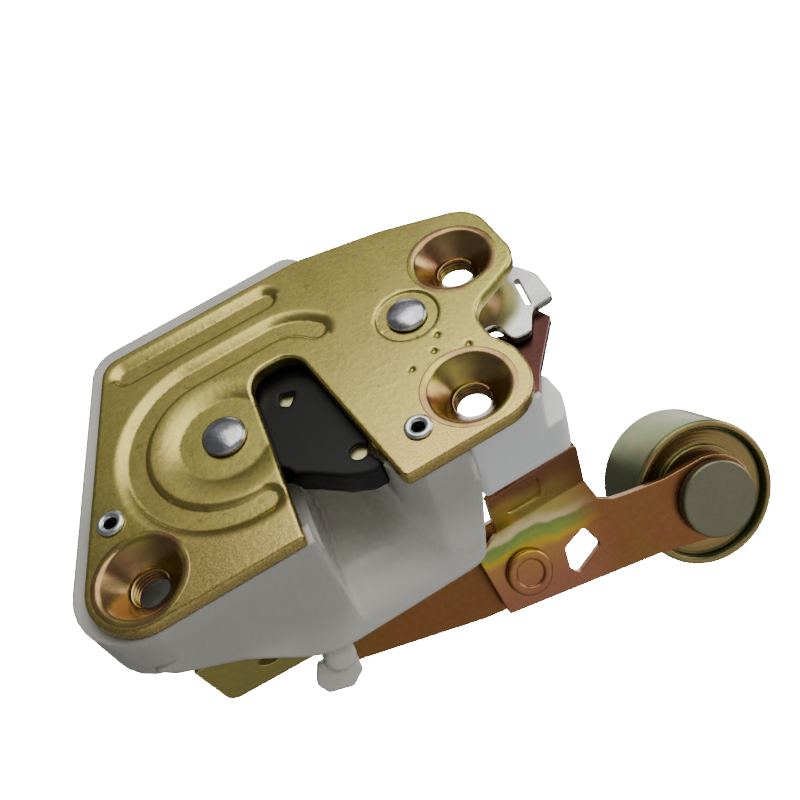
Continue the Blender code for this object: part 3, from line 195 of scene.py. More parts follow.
def new_group(name, inputs, outputs):
    """A node group with named sockets, its input node and its output node."""
    group = bpy.data.node_groups.new(name, "ShaderNodeTree")
    for label, kind, value in inputs:
        socket = group.interface.new_socket(label, in_out="INPUT", socket_type="NodeSocket" + kind)
        if value is not None:
            socket.default_value = value
    for label, kind in outputs:
        group.interface.new_socket(label, in_out="OUTPUT", socket_type="NodeSocket" + kind)
    return group, group.nodes.new("NodeGroupInput"), group.nodes.new("NodeGroupOutput")


def use_group(tree, group, inputs):
    """A shared effect, placed in a material with the material's own values."""
    return add(tree, "ShaderNodeGroup", inputs, node_tree=group)


print("node helpers ready")

# %% [markdown]
# ## Effects that several finishes share
# Chromated zinc is never one colour: the film's thickness drifts, so it wanders from olive through gold
# to rose. Pressed sheet has a fine grain. Edges are rubbed bright, and their brightness is partly a painted
# highlight. Each effect is a group that is built once and used with its own values in each material.

# %% Drifting plating colour
plating_drift, given, made = new_group(
    "plating_drift",
    [
        ("Vector", "Vector", None),
        ("Main", "Color", (0.5, 0.45, 0.25, 1)),
        ("Warm", "Color", (0.6, 0.4, 0.25, 1)),
        ("Cool", "Color", (0.4, 0.45, 0.2, 1)),
        ("Size", "Float", 60.0),
        ("Reach", "Float", 0.6),
    ],
    [("Colour", "Color")],
)
warm_cloud = add(
    plating_drift,
    "ShaderNodeTexNoise",
    {"Vector": given.outputs["Vector"], "Scale": given.outputs["Size"], "Detail": 3.0, "Distortion": 0.6},
)
cool_place = add(
    plating_drift, "ShaderNodeMapping", {"Vector": given.outputs["Vector"], "Location": (3, 7, 5)}
)
cool_cloud = add(
    plating_drift,
    "ShaderNodeTexNoise",
    {"Vector": cool_place.outputs[0], "Scale": given.outputs["Size"], "Detail": 2.0},
)
warm_part = between(plating_drift, warm_cloud.outputs[0], 0.45, 0.72)
cool_part = between(plating_drift, cool_cloud.outputs[0], 0.48, 0.7)
warm_share = sum_of(plating_drift, "MULTIPLY", warm_part, given.outputs["Reach"])
cool_share = sum_of(plating_drift, "MULTIPLY", cool_part, given.outputs["Reach"])
warmed = mixed(plating_drift, warm_share, given.outputs["Main"], given.outputs["Warm"])
plating_drift.links.new(
    mixed(plating_drift, cool_share, warmed, given.outputs["Cool"]), made.inputs["Colour"]
)

# %% Grain of pressed and plated sheet
sheet_grain, given, made = new_group(
    "sheet_grain",
    [("Vector", "Vector", None), ("Scale", "Float", 900.0)],
    [("Height", "Float"), ("Speckle", "Float")],
)
fine = add(
    sheet_grain,
    "ShaderNodeTexNoise",
    {"Vector": given.outputs["Vector"], "Scale": given.outputs["Scale"], "Detail": 3.0, "Roughness": 0.65},
)
pits = add(
    sheet_grain,
    "ShaderNodeTexVoronoi",
    {"Vector": given.outputs["Vector"], "Scale": given.outputs["Scale"]},
)
relief = sum_of(sheet_grain, "ADD", fine.outputs[0], sum_of(sheet_grain, "MULTIPLY", pits.outputs[0], 0.35))
sheet_grain.links.new(relief, made.inputs["Height"])
sheet_grain.links.new(between(sheet_grain, fine.outputs[0], 0.35, 0.7), made.inputs["Speckle"])

# %% Edges that are rounded, rubbed bright and painted with a highlight
worn_and_highlit_edge, given, made = new_group(
    "worn_and_highlit_edge",
    [("Radius", "Float", 0.0004)],
    [("Mask", "Float"), ("Normal", "Vector")],
)
rounded_edge = add(worn_and_highlit_edge, "ShaderNodeBevel", {"Radius": given.outputs["Radius"]}, samples=6)
facing = add(worn_and_highlit_edge, "ShaderNodeNewGeometry")
turned_away = add(
    worn_and_highlit_edge,
    "ShaderNodeVectorMath",
    {0: rounded_edge.outputs[0], 1: facing.outputs["Normal"]},
    operation="DOT_PRODUCT",
)
edge_amount = sum_of(worn_and_highlit_edge, "SUBTRACT", 1.0, turned_away.outputs["Value"])
worn_and_highlit_edge.links.new(between(worn_and_highlit_edge, edge_amount, 0.02, 0.2), made.inputs["Mask"])
worn_and_highlit_edge.links.new(rounded_edge.outputs[0], made.inputs["Normal"])

# %% Hair scratches from handling
hair_scratches, given, made = new_group(
    "hair_scratches",
    [("Vector", "Vector", None), ("Scale", "Float", 60.0)],
    [("Mask", "Float")],
)
marks = None
for angle, stretch in ((0.5, (1, 30, 30)), (-0.9, (30, 1, 30))):
    laid = add(
        hair_scratches,
        "ShaderNodeMapping",
        {"Vector": given.outputs["Vector"], "Rotation": (angle, angle * 0.7, angle), "Scale": stretch},
    )
    streak = add(
        hair_scratches,
        "ShaderNodeTexNoise",
        {"Vector": laid.outputs[0], "Scale": given.outputs["Scale"], "Detail": 1.0},
    )
    line = between(hair_scratches, streak.outputs[0], 0.68, 0.74)
    marks = line if marks is None else sum_of(hair_scratches, "MAXIMUM", marks, line)
hair_scratches.links.new(marks, made.inputs["Mask"])

# %% Rings left by turning
turning_rings, given, made = new_group(
    "turning_rings",
    [("Vector", "Vector", None), ("Per metre", "Float", 9000.0)],
    [("Height", "Float")],
)
apart = add(turning_rings, "ShaderNodeSeparateXYZ", {"Vector": given.outputs["Vector"]})
flat_x = sum_of(turning_rings, "MULTIPLY", apart.outputs["X"], apart.outputs["X"])
flat_y = sum_of(turning_rings, "MULTIPLY", apart.outputs["Y"], apart.outputs["Y"])
radius = sum_of(turning_rings, "SQRT", sum_of(turning_rings, "ADD", flat_x, flat_y))
wave = sum_of(turning_rings, "SINE", sum_of(turning_rings, "MULTIPLY", radius, given.outputs["Per metre"]))
turning_rings.links.new(wave, made.inputs["Height"])
print("shared effects:", [g.name for g in bpy.data.node_groups])

# %% [markdown]
# ## Plated steel
# One function makes every plated finish, because they differ only in their three film colours, their
# grain and how much their edges shine. The metal's colour comes from the drifting film, gets lighter flecks
# from the grain, and turns towards a bright edge colour along edges, which is partly rubbed wear and partly
# a painted highlight, and faintly in hair scratches.

# %% Plated finish


# The edge colour: bright zinc of rubbed wear, and a painted highlight as well.
WORN_AND_HIGHLIT_EDGE_COLOUR = (0.86, 0.8, 0.6)
SCRATCH_SHARE = 0.02


def plated_steel(
    name, main, warm, cool, film, reach, rough, grain, edge=WORN_AND_HIGHLIT_EDGE_COLOUR, scale=950.0, wear_and_highlight_share=0.6, flecks=0.12
):
    """Chromated zinc: a drifting film colour, a fine grain, and edges painted bright, partly as wear and
    partly as a painted highlight.
    """
    paint = bpy.data.materials.new(name)
    paint.use_nodes = True
    tree = paint.node_tree
    shader = tree.nodes["Principled BSDF"]
    place = add(tree, "ShaderNodeTexCoord").outputs["Object"]
    film_colours = {"Main": (*main, 1), "Warm": (*warm, 1), "Cool": (*cool, 1)}
    drift = use_group(tree, plating_drift, {"Vector": place, **film_colours, "Size": film, "Reach": reach})
    texture = use_group(tree, sheet_grain, {"Vector": place, "Scale": scale})
    edges = use_group(tree, worn_and_highlit_edge, {"Radius": 0.35 * MM})
    scratches = use_group(tree, hair_scratches, {"Vector": place, "Scale": 45.0}).outputs["Mask"]
    light = tuple(min(1.0, c * 1.35 + 0.05) for c in main)
    speckle = sum_of(tree, "MULTIPLY", texture.outputs["Speckle"], flecks)
    colour = mixed(tree, speckle, drift.outputs["Colour"], (*light, 1))
    colour = mixed(tree, sum_of(tree, "MULTIPLY", scratches, SCRATCH_SHARE), colour, (*edge, 1))
    # Edges turn towards the edge colour: this is partly rubbed wear and partly a painted highlight.
    colour = mixed(tree, sum_of(tree, "MULTIPLY", edges.outputs["Mask"], wear_and_highlight_share), colour, (*edge, 1))
    tree.links.new(colour, shader.inputs["Base Color"])
    shader.inputs["Metallic"].default_value = 1.0
    patchy = add(tree, "ShaderNodeTexNoise", {"Vector": place, "Scale": 140.0, "Detail": 3.0}).outputs[0]
    spread = sum_of(tree, "ADD", sum_of(tree, "MULTIPLY", patchy, 0.16), rough - 0.08)
    tree.links.new(spread, shader.inputs["Roughness"])
    relief = {"Height": texture.outputs["Height"], "Normal": edges.outputs["Normal"]}
    bump = add(tree, "ShaderNodeBump", {"Strength": grain, "Distance": 0.05 * MM, **relief})
    tree.links.new(bump.outputs[0], shader.inputs["Normal"])
    return paint


def opened(paint):
    """A finish's node tree, its shader, its colour so far and a new Object coordinate."""
    shader = paint.node_tree.nodes["Principled BSDF"]
    place = add(paint.node_tree, "ShaderNodeTexCoord").outputs["Object"]
    return paint.node_tree, shader, shader.inputs["Base Color"].links[0].from_socket, place


cone_zinc = plated_steel(
    "cone_zinc", (0.36, 0.235, 0.10), (0.24, 0.105, 0.06), (0.52, 0.46, 0.09), 130.0, 0.9, 0.22, 0.25,
    edge=(0.8, 0.62, 0.42), wear_and_highlight_share=0.3,
)
bracket_zinc = plated_steel(
    "bracket_zinc", (0.46, 0.39, 0.10), (0.55, 0.25, 0.08), (0.36, 0.40, 0.08), 60.0, 0.8, 0.30, 0.3
)
core_zinc = plated_steel(
    "core_zinc", (0.72, 0.70, 0.36), (0.7, 0.6, 0.3), (0.62, 0.66, 0.26), 90.0, 0.5, 0.42, 0.3
)
chassis_zinc = plated_steel(
    "chassis_zinc", (0.22, 0.105, 0.035), (0.26, 0.10, 0.04), (0.20, 0.14, 0.035), 40.0, 0.8, 0.33, 0.2,
    edge=(0.55, 0.36, 0.18), wear_and_highlight_share=0.4,
)
rose_zinc = plated_steel(
    "rose_zinc", (0.06, 0.024, 0.02), (0.12, 0.045, 0.04), (0.04, 0.02, 0.018), 60.0, 0.8, 0.30, 0.2,
    edge=(0.65, 0.42, 0.38),
)
bare_zinc = plated_steel(
    "bare_zinc", (0.62, 0.64, 0.63), (0.70, 0.68, 0.66), (0.34, 0.37, 0.36), 70.0, 0.9, 0.24, 0.2,
    edge=(0.92, 0.92, 0.9),
)
rivet_steel = plated_steel(
    "rivet_steel", (0.40, 0.40, 0.43), (0.32, 0.31, 0.33), (0.55, 0.56, 0.60), 420.0, 0.9, 0.24, 0.6,
    edge=(0.7, 0.7, 0.72), scale=1500.0, wear_and_highlight_share=0.3,
)
wire_steel = plated_steel(
    "wire_steel", (0.34, 0.33, 0.31), (0.30, 0.27, 0.24), (0.4, 0.4, 0.4), 200.0, 0.6, 0.34, 0.1
)
plated = (cone_zinc, bracket_zinc, core_zinc, chassis_zinc, rose_zinc, bare_zinc, rivet_steel, wire_steel)
print("plated finishes:", len(plated))

# %% [markdown]
# ## The roller lever's rainbow
# The film's thickness changes across the lever, so its colour runs in bands along the fold: copper on the
# arm, then yellow, then green, and brass on the flange. A pale line at the fold is a painted highlight. A
# Mapping node turns the pattern into the folded sheet's own frame, where Y is the distance from the fold.

# %% Copper rose finish with bands along the fold
FOLD_TILT = math.radians(39.0)
FOLD_PLACE = Vector((0, 36.0, -15.4)) * MM
SHEET = Matrix.Translation(FOLD_PLACE) @ Matrix.Rotation(-FOLD_TILT, 4, "X")
FILM_BANDS_AND_FOLD_HIGHLIGHT = (
    (0.0, (0.34, 0.15, 0.07)),
    (0.10, (0.56, 0.42, 0.11)),
    (0.30, (0.46, 0.38, 0.10)),
    # This pale cream band is a painted highlight along the fold, not a film colour.
    (0.41, (0.80, 0.66, 0.34)),
    (0.45, (0.22, 0.34, 0.09)),
    (0.52, (0.30, 0.40, 0.08)),
    (0.59, (0.62, 0.44, 0.04)),
    (0.68, (0.46, 0.22, 0.08)),
    (1.0, (0.36, 0.15, 0.09)),
)


def banded_lever():
    """The lever's film colour by its distance from the fold, with a painted highlight along the fold,
    broken up by a slow noise.
    """
    paint = plated_steel(
        "lever_zinc", (0.27, 0.115, 0.045), (0.30, 0.10, 0.05), (0.25, 0.14, 0.035), 45.0, 0.7, 0.30, 0.2,
        edge=(0.8, 0.56, 0.34), wear_and_highlight_share=0.5,
    )
    tree, shader, plain, place = opened(paint)
    on_sheet = add(
        tree,
        "ShaderNodeMapping",
        {"Vector": place, "Location": tuple(FOLD_PLACE), "Rotation": (-FOLD_TILT, 0, 0)},
        vector_type="TEXTURE",
    ).outputs[0]
    apart = add(tree, "ShaderNodeSeparateXYZ", {"Vector": on_sheet})
    wander = add(tree, "ShaderNodeTexNoise", {"Vector": on_sheet, "Scale": 90.0, "Detail": 2.0}).outputs[0]
    sway = sum_of(tree, "MULTIPLY", sum_of(tree, "SUBTRACT", wander, 0.5), 6.0 * MM)
    lean = sum_of(tree, "MULTIPLY", apart.outputs["X"], -0.12)
    across = sum_of(tree, "ADD", sum_of(tree, "ADD", apart.outputs["Y"], sway), lean)
    bands = add(tree, "ShaderNodeValToRGB", {"Fac": between(tree, across, -12.0 * MM, 16.0 * MM)})
    bands.color_ramp.interpolation = "EASE"
    while len(bands.color_ramp.elements) < len(FILM_BANDS_AND_FOLD_HIGHLIGHT):
        bands.color_ramp.elements.new(0.5)
    for element, (position, colour) in zip(bands.color_ramp.elements, FILM_BANDS_AND_FOLD_HIGHLIGHT):
        element.position = position
        element.color = (*colour, 1)
    near_flange = sum_of(tree, "SUBTRACT", 1.0, between(tree, apart.outputs["X"], 22.0 * MM, 33.0 * MM))
    share = sum_of(tree, "MULTIPLY", near_flange, 0.9)
    tree.links.new(mixed(tree, share, plain, bands.outputs[0]), shader.inputs["Base Color"])
    return paint


lever_zinc = banded_lever()
print("lever finish:", lever_zinc.name, "with", len(FILM_BANDS_AND_FOLD_HIGHLIGHT), "bands")

# %% [markdown]
# ## The face plate's film
# The plate is yellow olive, and towards its mouth edge it wears to an orange bronze. The share of bronze
# comes from the height above that edge, pushed up and down by a noise, so the change has no straight line.
# A fine noise gives the bronze its grains, and a sparse one adds a few dark spots.

# %% Olive finish with a bronze mouth edge


def speckled_face():
    """The face plate's film: yellow olive, with orange bronze near the mouth edge."""
    paint = plated_steel(
        "face_zinc", (0.46, 0.39, 0.105), (0.50, 0.33, 0.11), (0.34, 0.37, 0.08), 26.0, 0.5, 0.27, 0.45,
        wear_and_highlight_share=0.3, flecks=0.3,
    )
    tree, shader, plain, place = opened(paint)
    apart = add(tree, "ShaderNodeSeparateXYZ", {"Vector": place})
    wander = add(tree, "ShaderNodeTexNoise", {"Vector": place, "Scale": 130.0, "Detail": 3.0}).outputs[0]
    sway = sum_of(tree, "MULTIPLY", sum_of(tree, "SUBTRACT", wander, 0.5), 16.0 * MM)
    height = sum_of(tree, "ADD", apart.outputs["Z"], sway)
    near_mouth = sum_of(tree, "SUBTRACT", 1.0, between(tree, height, -18.0 * MM, -5.0 * MM))
    grains = add(tree, "ShaderNodeTexNoise", {"Vector": place, "Scale": 2600.0, "Detail": 1.0}).outputs[0]
    bronze = mixed(tree, between(tree, grains, 0.42, 0.6), (0.42, 0.27, 0.08, 1), (0.60, 0.46, 0.18, 1))
    share = sum_of(tree, "MULTIPLY", near_mouth, 0.6)
    colour = mixed(tree, share, plain, bronze)
    dark_spot = add(tree, "ShaderNodeTexNoise", {"Vector": place, "Scale": 420.0, "Detail": 2.0}).outputs[0]
    pitted = sum_of(tree, "MULTIPLY", between(tree, dark_spot, 0.68, 0.74), 0.35)
    colour = mixed(tree, pitted, colour, (0.16, 0.12, 0.05, 1))
    tree.links.new(colour, shader.inputs["Base Color"])
    return paint


face_zinc = speckled_face()
print("face plate finish:", face_zinc.name)

# %% [markdown]
# ## The roller and its pin
# The roller is turned on a lathe, so its bump is a set of fine rings about its own axis. The Mapping node
# moves the pattern to the roller's centre and turns it flat to the lever's sheet. Its end faces are browner
# than its rim, so the normal's part along the axis chooses between the two colours.

# %% Turned finishes
ROLLER_U, ROLLER_V = 53.1, 17.1
ROLLER_CENTRE = SHEET @ Vector((ROLLER_U * MM, ROLLER_V * MM, 0))
SHEET_NORMAL = (0.0, math.sin(FOLD_TILT), math.cos(FOLD_TILT))


def turned_steel(name, main, warm, cool, rough, ring_strength, edge, end_face):
    """A plated finish whose grain is joined by the rings of turning, about the roller's axis."""
    paint = plated_steel(name, main, warm, cool, 70.0, 0.85, rough, 0.12, edge=edge)
    tree, shader, plain, place = opened(paint)
    grain_bump = shader.inputs["Normal"].links[0].from_socket
    centred = add(
        tree,
        "ShaderNodeMapping",
        {"Vector": place, "Location": tuple(ROLLER_CENTRE), "Rotation": (-FOLD_TILT, 0, 0)},
        vector_type="TEXTURE",
    ).outputs[0]
    rings = use_group(tree, turning_rings, {"Vector": centred}).outputs["Height"]
    inputs = {"Strength": ring_strength, "Distance": 0.02 * MM, "Height": rings, "Normal": grain_bump}
    bump = add(tree, "ShaderNodeBump", inputs)
    tree.links.new(bump.outputs[0], shader.inputs["Normal"])
    facing = add(tree, "ShaderNodeNewGeometry").outputs["True Normal"]
    along = add(tree, "ShaderNodeVectorMath", {0: facing, 1: SHEET_NORMAL}, operation="DOT_PRODUCT")
    on_end = between(tree, sum_of(tree, "ABSOLUTE", along.outputs["Value"]), 0.8, 0.95)
    tree.links.new(mixed(tree, on_end, plain, (*end_face, 1)), shader.inputs["Base Color"])
    return paint


roller_zinc = turned_steel(
    "roller_zinc", (0.17, 0.19, 0.075), (0.27, 0.20, 0.10), (0.11, 0.18, 0.075), 0.33, 0.3,
    edge=(0.8, 0.72, 0.36), end_face=(0.36, 0.25, 0.095),
)
pin_steel = turned_steel(
    "pin_steel", (0.19, 0.185, 0.11), (0.18, 0.17, 0.105), (0.22, 0.23, 0.145), 0.42, 0.1,
    edge=(0.8, 0.66, 0.42), end_face=(0.20, 0.20, 0.13),
)
print("turned finishes:", roller_zinc.name, pin_steel.name)

# %% [markdown]
# ## Nylon
# The housing is natural nylon, milky and a little see-through, so light soaks into its edges. Subsurface
# scattering over a few millimetres gives that. A slow noise makes it slightly uneven, and a sparse dust
# of dark specks stands for moulding specks. The lever guide is paler. The claw's cover is dyed black.

# %% Milky, pale and black nylon


def moulded_nylon(name, base, shade, soak, rough, specks, shine=0.5):
    """Moulded plastic that drifts between two colours and lets light soak in by a given share."""
    paint = bpy.data.materials.new(name)
    paint.use_nodes = True
    tree = paint.node_tree
    shader = tree.nodes["Principled BSDF"]
    place = add(tree, "ShaderNodeTexCoord").outputs["Object"]
    cloud = add(tree, "ShaderNodeTexNoise", {"Vector": place, "Scale": 55.0, "Detail": 2.0}).outputs[0]
    slow = add(tree, "ShaderNodeTexNoise", {"Vector": place, "Scale": 26.0, "Detail": 1.0}).outputs[0]
    colour = mixed(tree, between(tree, slow, 0.36, 0.64), (*base, 1), (*shade, 1))
    if specks:
        dots = add(tree, "ShaderNodeTexVoronoi", {"Vector": place, "Scale": 150.0}).outputs["Distance"]
        where = add(tree, "ShaderNodeTexNoise", {"Vector": place, "Scale": 38.0}).outputs[0]
        near = sum_of(tree, "SUBTRACT", 1.0, between(tree, dots, 0.03, 0.055))
        speck = sum_of(tree, "MULTIPLY", near, between(tree, where, 0.62, 0.66))
        colour = mixed(tree, speck, colour, (0.05, 0.05, 0.05, 1))
    tree.links.new(colour, shader.inputs["Base Color"])
    shader.inputs["Subsurface Weight"].default_value = soak
    shader.inputs["Subsurface Radius"].default_value = (1.0, 1.0, 1.0)
    shader.inputs["Subsurface Scale"].default_value = 2.5 * MM
    shader.inputs["Specular IOR Level"].default_value = shine
    uneven = sum_of(tree, "ADD", sum_of(tree, "MULTIPLY", cloud, 0.14), rough - 0.07)
    tree.links.new(uneven, shader.inputs["Roughness"])
    ripple = add(tree, "ShaderNodeTexNoise", {"Vector": place, "Scale": 420.0, "Detail": 2.0}).outputs[0]
    edges = use_group(tree, worn_and_highlit_edge, {"Radius": 0.9 * MM})
    inputs = {"Strength": 0.12, "Distance": 0.08 * MM, "Height": ripple, "Normal": edges.outputs["Normal"]}
    tree.links.new(add(tree, "ShaderNodeBump", inputs).outputs[0], shader.inputs["Normal"])
    return paint


milky_nylon = moulded_nylon("milky_nylon", (0.70, 0.69, 0.63), (0.47, 0.46, 0.41), 0.30, 0.30, True)
pale_nylon = moulded_nylon("pale_nylon", (0.86, 0.87, 0.88), (0.78, 0.79, 0.80), 0.40, 0.36, False)
black_nylon = moulded_nylon(
    "black_nylon", (0.005, 0.005, 0.005), (0.008, 0.008, 0.008), 0.0, 0.36, False, shine=0.25
)
print("plastics:", milky_nylon.name, pale_nylon.name, black_nylon.name)

# %% [markdown]
# ## Dressing the solids
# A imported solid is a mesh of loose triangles. A copy of it is merged, its flat triangles are joined again
# and its round faces are shaded smooth. The copy then stands for the solid, which physics keeps.

# %% Smooth copies of the solids
SOLID_SHARP, ROUND_SHARP, SHEET_SHARP = 34, 40, 50
BODY_OF = {}
for body, members in frame["record"]["behaviour"]["bodies"].items():
    for member in members:
        BODY_OF[member] = body


def piece_from(shape, name, paint, sharp=None):
    """An object made from a bmesh, with one finish, shaded smooth up to a sharp angle in degrees."""
    mesh = bpy.data.meshes.new(name)
    shape.to_mesh(mesh)
    shape.free()
    mesh.materials.clear()
    mesh.materials.append(paint)
    if sharp is not None:
        mesh.shade_smooth()
        mesh.set_sharp_from_angle(angle=math.radians(sharp))
    piece = bpy.data.objects.new(name, mesh)
    bpy.context.scene.collection.objects.link(piece)
    return piece


def dressed(node, paint):
    """A merged and smooth-shaded copy of a solid, with its finish, that stands for the solid."""
    shape = bmesh.new()
    shape.from_mesh(frame["nodes"][node].data)
    bmesh.ops.remove_doubles(shape, verts=shape.verts, dist=0.002 * MM)
    bmesh.ops.dissolve_limit(
        shape, angle_limit=math.radians(0.5), verts=shape.verts, edges=shape.edges, delimit={"NORMAL"}
    )
    skin = piece_from(shape, node + "_skin", paint, SOLID_SHARP)
    even = skin.modifiers.new("even_normals", "WEIGHTED_NORMAL")
    even.keep_sharp = True
    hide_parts(node)
    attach(skin, BODY_OF[node])


FINISH_OF = {
    "housing": milky_nylon,
    "back_plate": rose_zinc,
    "claw_core": core_zinc,
    "claw_cover": black_nylon,
    "pawl": core_zinc,
    "release_lever": bare_zinc,
    "claw_spring": wire_steel,
    "pawl_spring": wire_steel,
    "lever_spring": wire_steel,
    "lever_guide": pale_nylon,
    "roller_lever": lever_zinc,
    "roller_bush": wire_steel,
    "carrier_plate": chassis_zinc,
    "corner_bracket": bracket_zinc,
    "rod_clip": milky_nylon,
}
for node, paint in FINISH_OF.items():
    dressed(node, paint)
print("dressed solids:", len(FINISH_OF))

# %% [markdown]
# ## The pressed face plate
# The punch rolled the sheet gently into each rib, and left a crisp corner where the roll meets the flat
# floor. Those slow slopes catch the light, so the plate is made again as a fine height field. Its depth is
# that of the deepest form at each place, which are the ribs, the dish and the pads, and the punched dots
# and the rounded outer edge are added. No bmesh operator presses such slopes round an arc, so each form
# adds rows of points along itself, and a Delaunay triangulation joins them. The side walls and the back are
# then made by extruding the open edges and filling them.

# %% Sizes of the plate, in millimetres on its face
PLATE_GAUGE = 2.5
POINT_GAP, EDGE_GAP = 0.35, 0.4
PLATE_CORNERS = (
    (-58.5, -18.4, 9.3),
    (-19.1, -18.4, 0.8),
    (-14.7, 17.6, 4.5),
    (-5.0, 17.6, 4.5),
    (-1.1, -18.4, 1.2),
    (26.8, -18.4, 8.6),
    (26.8, -6.5, 4.0),
    (24.8, -1.5, 5.0),
    (24.8, 5.0, 5.6),
    (38.5, 11.2, 6.0),
    (38.5, 27.8, 7.0),
    (21.5, 34.2, 30.0),
    (4.5, 38.2, 12.0),
    (-36.9, 38.2, 4.5),
)
CLAW_PLACE = (-22.9, 8.0)
PAWL_PLACE = (15.3, 11.5)
SCREWS = {"left": (-44.7, -9.3), "upper": (28.5, 18.3), "lower": (16.2, -9.0)}
RIVETS = {"tubular_rivet_left": (-45.9, 3.3), "tubular_rivet_right": (5.4, -11.3)}
DOT_PLACES = ((17.5, 4.1), (15.3, 1.3), (20.8, -1.1), (18.5, -1.8), (10.3, 0.1))
DOT_DEPTH, DOT_FLAT, DOT_ROLL = 0.5, 0.3, 0.35
RIB_DEPTH, RIB_FLOOR = 0.8, 1.75
OUTER_ROLL, INNER_ROLL = 2.3, 1.1
ROUND_RIB = (16.2, 276, 90)
RIB_END = ((-7.5, 14.7), 9.5, 90, 32)
STRAIGHT_RIB = ((-33.5, 32.8), (-4.7, 32.8))
DISH_RADIUS, PAD_RADIUS, PAD_DEPTH = 13.2, 8.3, 0.7
PAWL_PAD_RADIUS, PAWL_PAD_DEPTH, PAWL_ROLL = 6.1, 0.45, 0.5
EDGE_ROLL = 0.6
HOLES = [(place, 7.9) for place in SCREWS.values()]
HOLES += [(CLAW_PLACE, 3.65), (PAWL_PLACE, 3.05)] + [(place, 1.75) for place in RIVETS.values()]
print("plate holes:", len(HOLES), "punched dots:", len(DOT_PLACES))

# %% Lines on the plate


def ring_points(centre, radius, spacing=POINT_GAP, start=0.0, end=360.0):
    """Points round an arc, about one spacing apart. A full ring doesn't repeat its first point."""
    count = max(12, int(abs(end - start) / 360 * math.tau * radius / spacing))
    closed = abs(end - start) == 360
    turns = np.radians(np.linspace(start, end, count, endpoint=not closed))
    return np.stack((centre[0] + radius * np.cos(turns), centre[1] + radius * np.sin(turns)), axis=1)


def even_steps(points, spacing, closed=False):
    """The same line with points about one spacing apart."""
    line = np.vstack((points, points[:1])) if closed else points
    lengths = np.hypot(*np.diff(line, axis=0).T)
    travelled = np.concatenate(((0.0,), np.cumsum(lengths)))
    stations = np.linspace(0, travelled[-1], int(travelled[-1] / spacing) + 1, endpoint=not closed)
    return np.stack([np.interp(stations, travelled, line[:, k]) for k in (0, 1)], axis=1)


def plate_edge():
    """The plate's outline with its corners rounded."""
    points = []
    for i, (x, z, radius) in enumerate(PLATE_CORNERS):
        corner = Vector((x, z))
        before = (Vector(PLATE_CORNERS[i - 1][:2]) - corner).normalized()
        after = (Vector(PLATE_CORNERS[(i + 1) % len(PLATE_CORNERS)][:2]) - corner).normalized()
        half = before.angle(after) / 2
        centre = corner + (before + after).normalized() * (radius / math.sin(half))
        first = corner + before * (radius / math.tan(half)) - centre
        swing = first.angle_signed(corner + after * (radius / math.tan(half)) - centre)
        count = max(4, int(abs(swing) * radius / EDGE_GAP))
        for k in range(count + 1):
            points.append(tuple(centre + Matrix.Rotation(-swing * k / count, 2) @ first))
    return even_steps(np.array(points), EDGE_GAP, closed=True)


def off_line(points, line):
    """How far each point lies from a line, and on which side of it: 1 is left of its run."""
    nearest = np.full(len(points), 1e9)
    side = np.zeros(len(points))
    for start, end in zip(line, line[1:]):
        run = end - start
        share = np.clip((points - start) @ run / max(run @ run, 1e-12), 0, 1)
        gap = points - (start + share[:, None] * run)
        distance = np.hypot(gap[:, 0], gap[:, 1])
        nearer = distance < nearest
        nearest[nearer] = distance[nearer]
        side[nearer] = np.sign(run[0] * gap[:, 1] - run[1] * gap[:, 0])[nearer]
    return nearest, side


def inside(points, loop):
    """Whether each point lies inside a closed loop, by counting crossings of a ray."""
    hit = np.zeros(len(points), bool)
    for (x0, z0), (x1, z1) in zip(loop, np.roll(loop, -1, axis=0)):
        spans = (z0 > points[:, 1]) != (z1 > points[:, 1])
        cross = x0 + (points[:, 1] - z0) * (x1 - x0) / (z1 - z0 + 1e-12)
        hit ^= spans & (points[:, 0] < cross)
    return hit


PLATE_EDGE = plate_edge()
EDGE_LOOP = np.vstack((PLATE_EDGE, PLATE_EDGE[:1]))
rib_radius, rib_start, rib_stop = ROUND_RIB
around_claw = ring_points(CLAW_PLACE, rib_radius, POINT_GAP, rib_start, rib_stop)
end_centre, end_radius, end_start, end_stop = RIB_END
rib_turn = ring_points(end_centre, end_radius, POINT_GAP, end_start, end_stop)
RIB_PATHS = [
    even_steps(np.vstack((around_claw, rib_turn)), POINT_GAP),
    even_steps(np.array(STRAIGHT_RIB), POINT_GAP),
]
print("plate outline points:", len(PLATE_EDGE), "rib points:", [len(path) for path in RIB_PATHS])

# %% Depth of the pressed face


def from_place(points, place):
    """How far each point lies from one place."""
    return np.hypot(points[:, 0] - place[0], points[:, 1] - place[1])


def roll_in(distance, width):
    """1 on a floor, 0 outside its roll, and steepest at the floor, as a punch leaves it."""
    return np.clip(1 - distance / width, 0, 1) ** 2


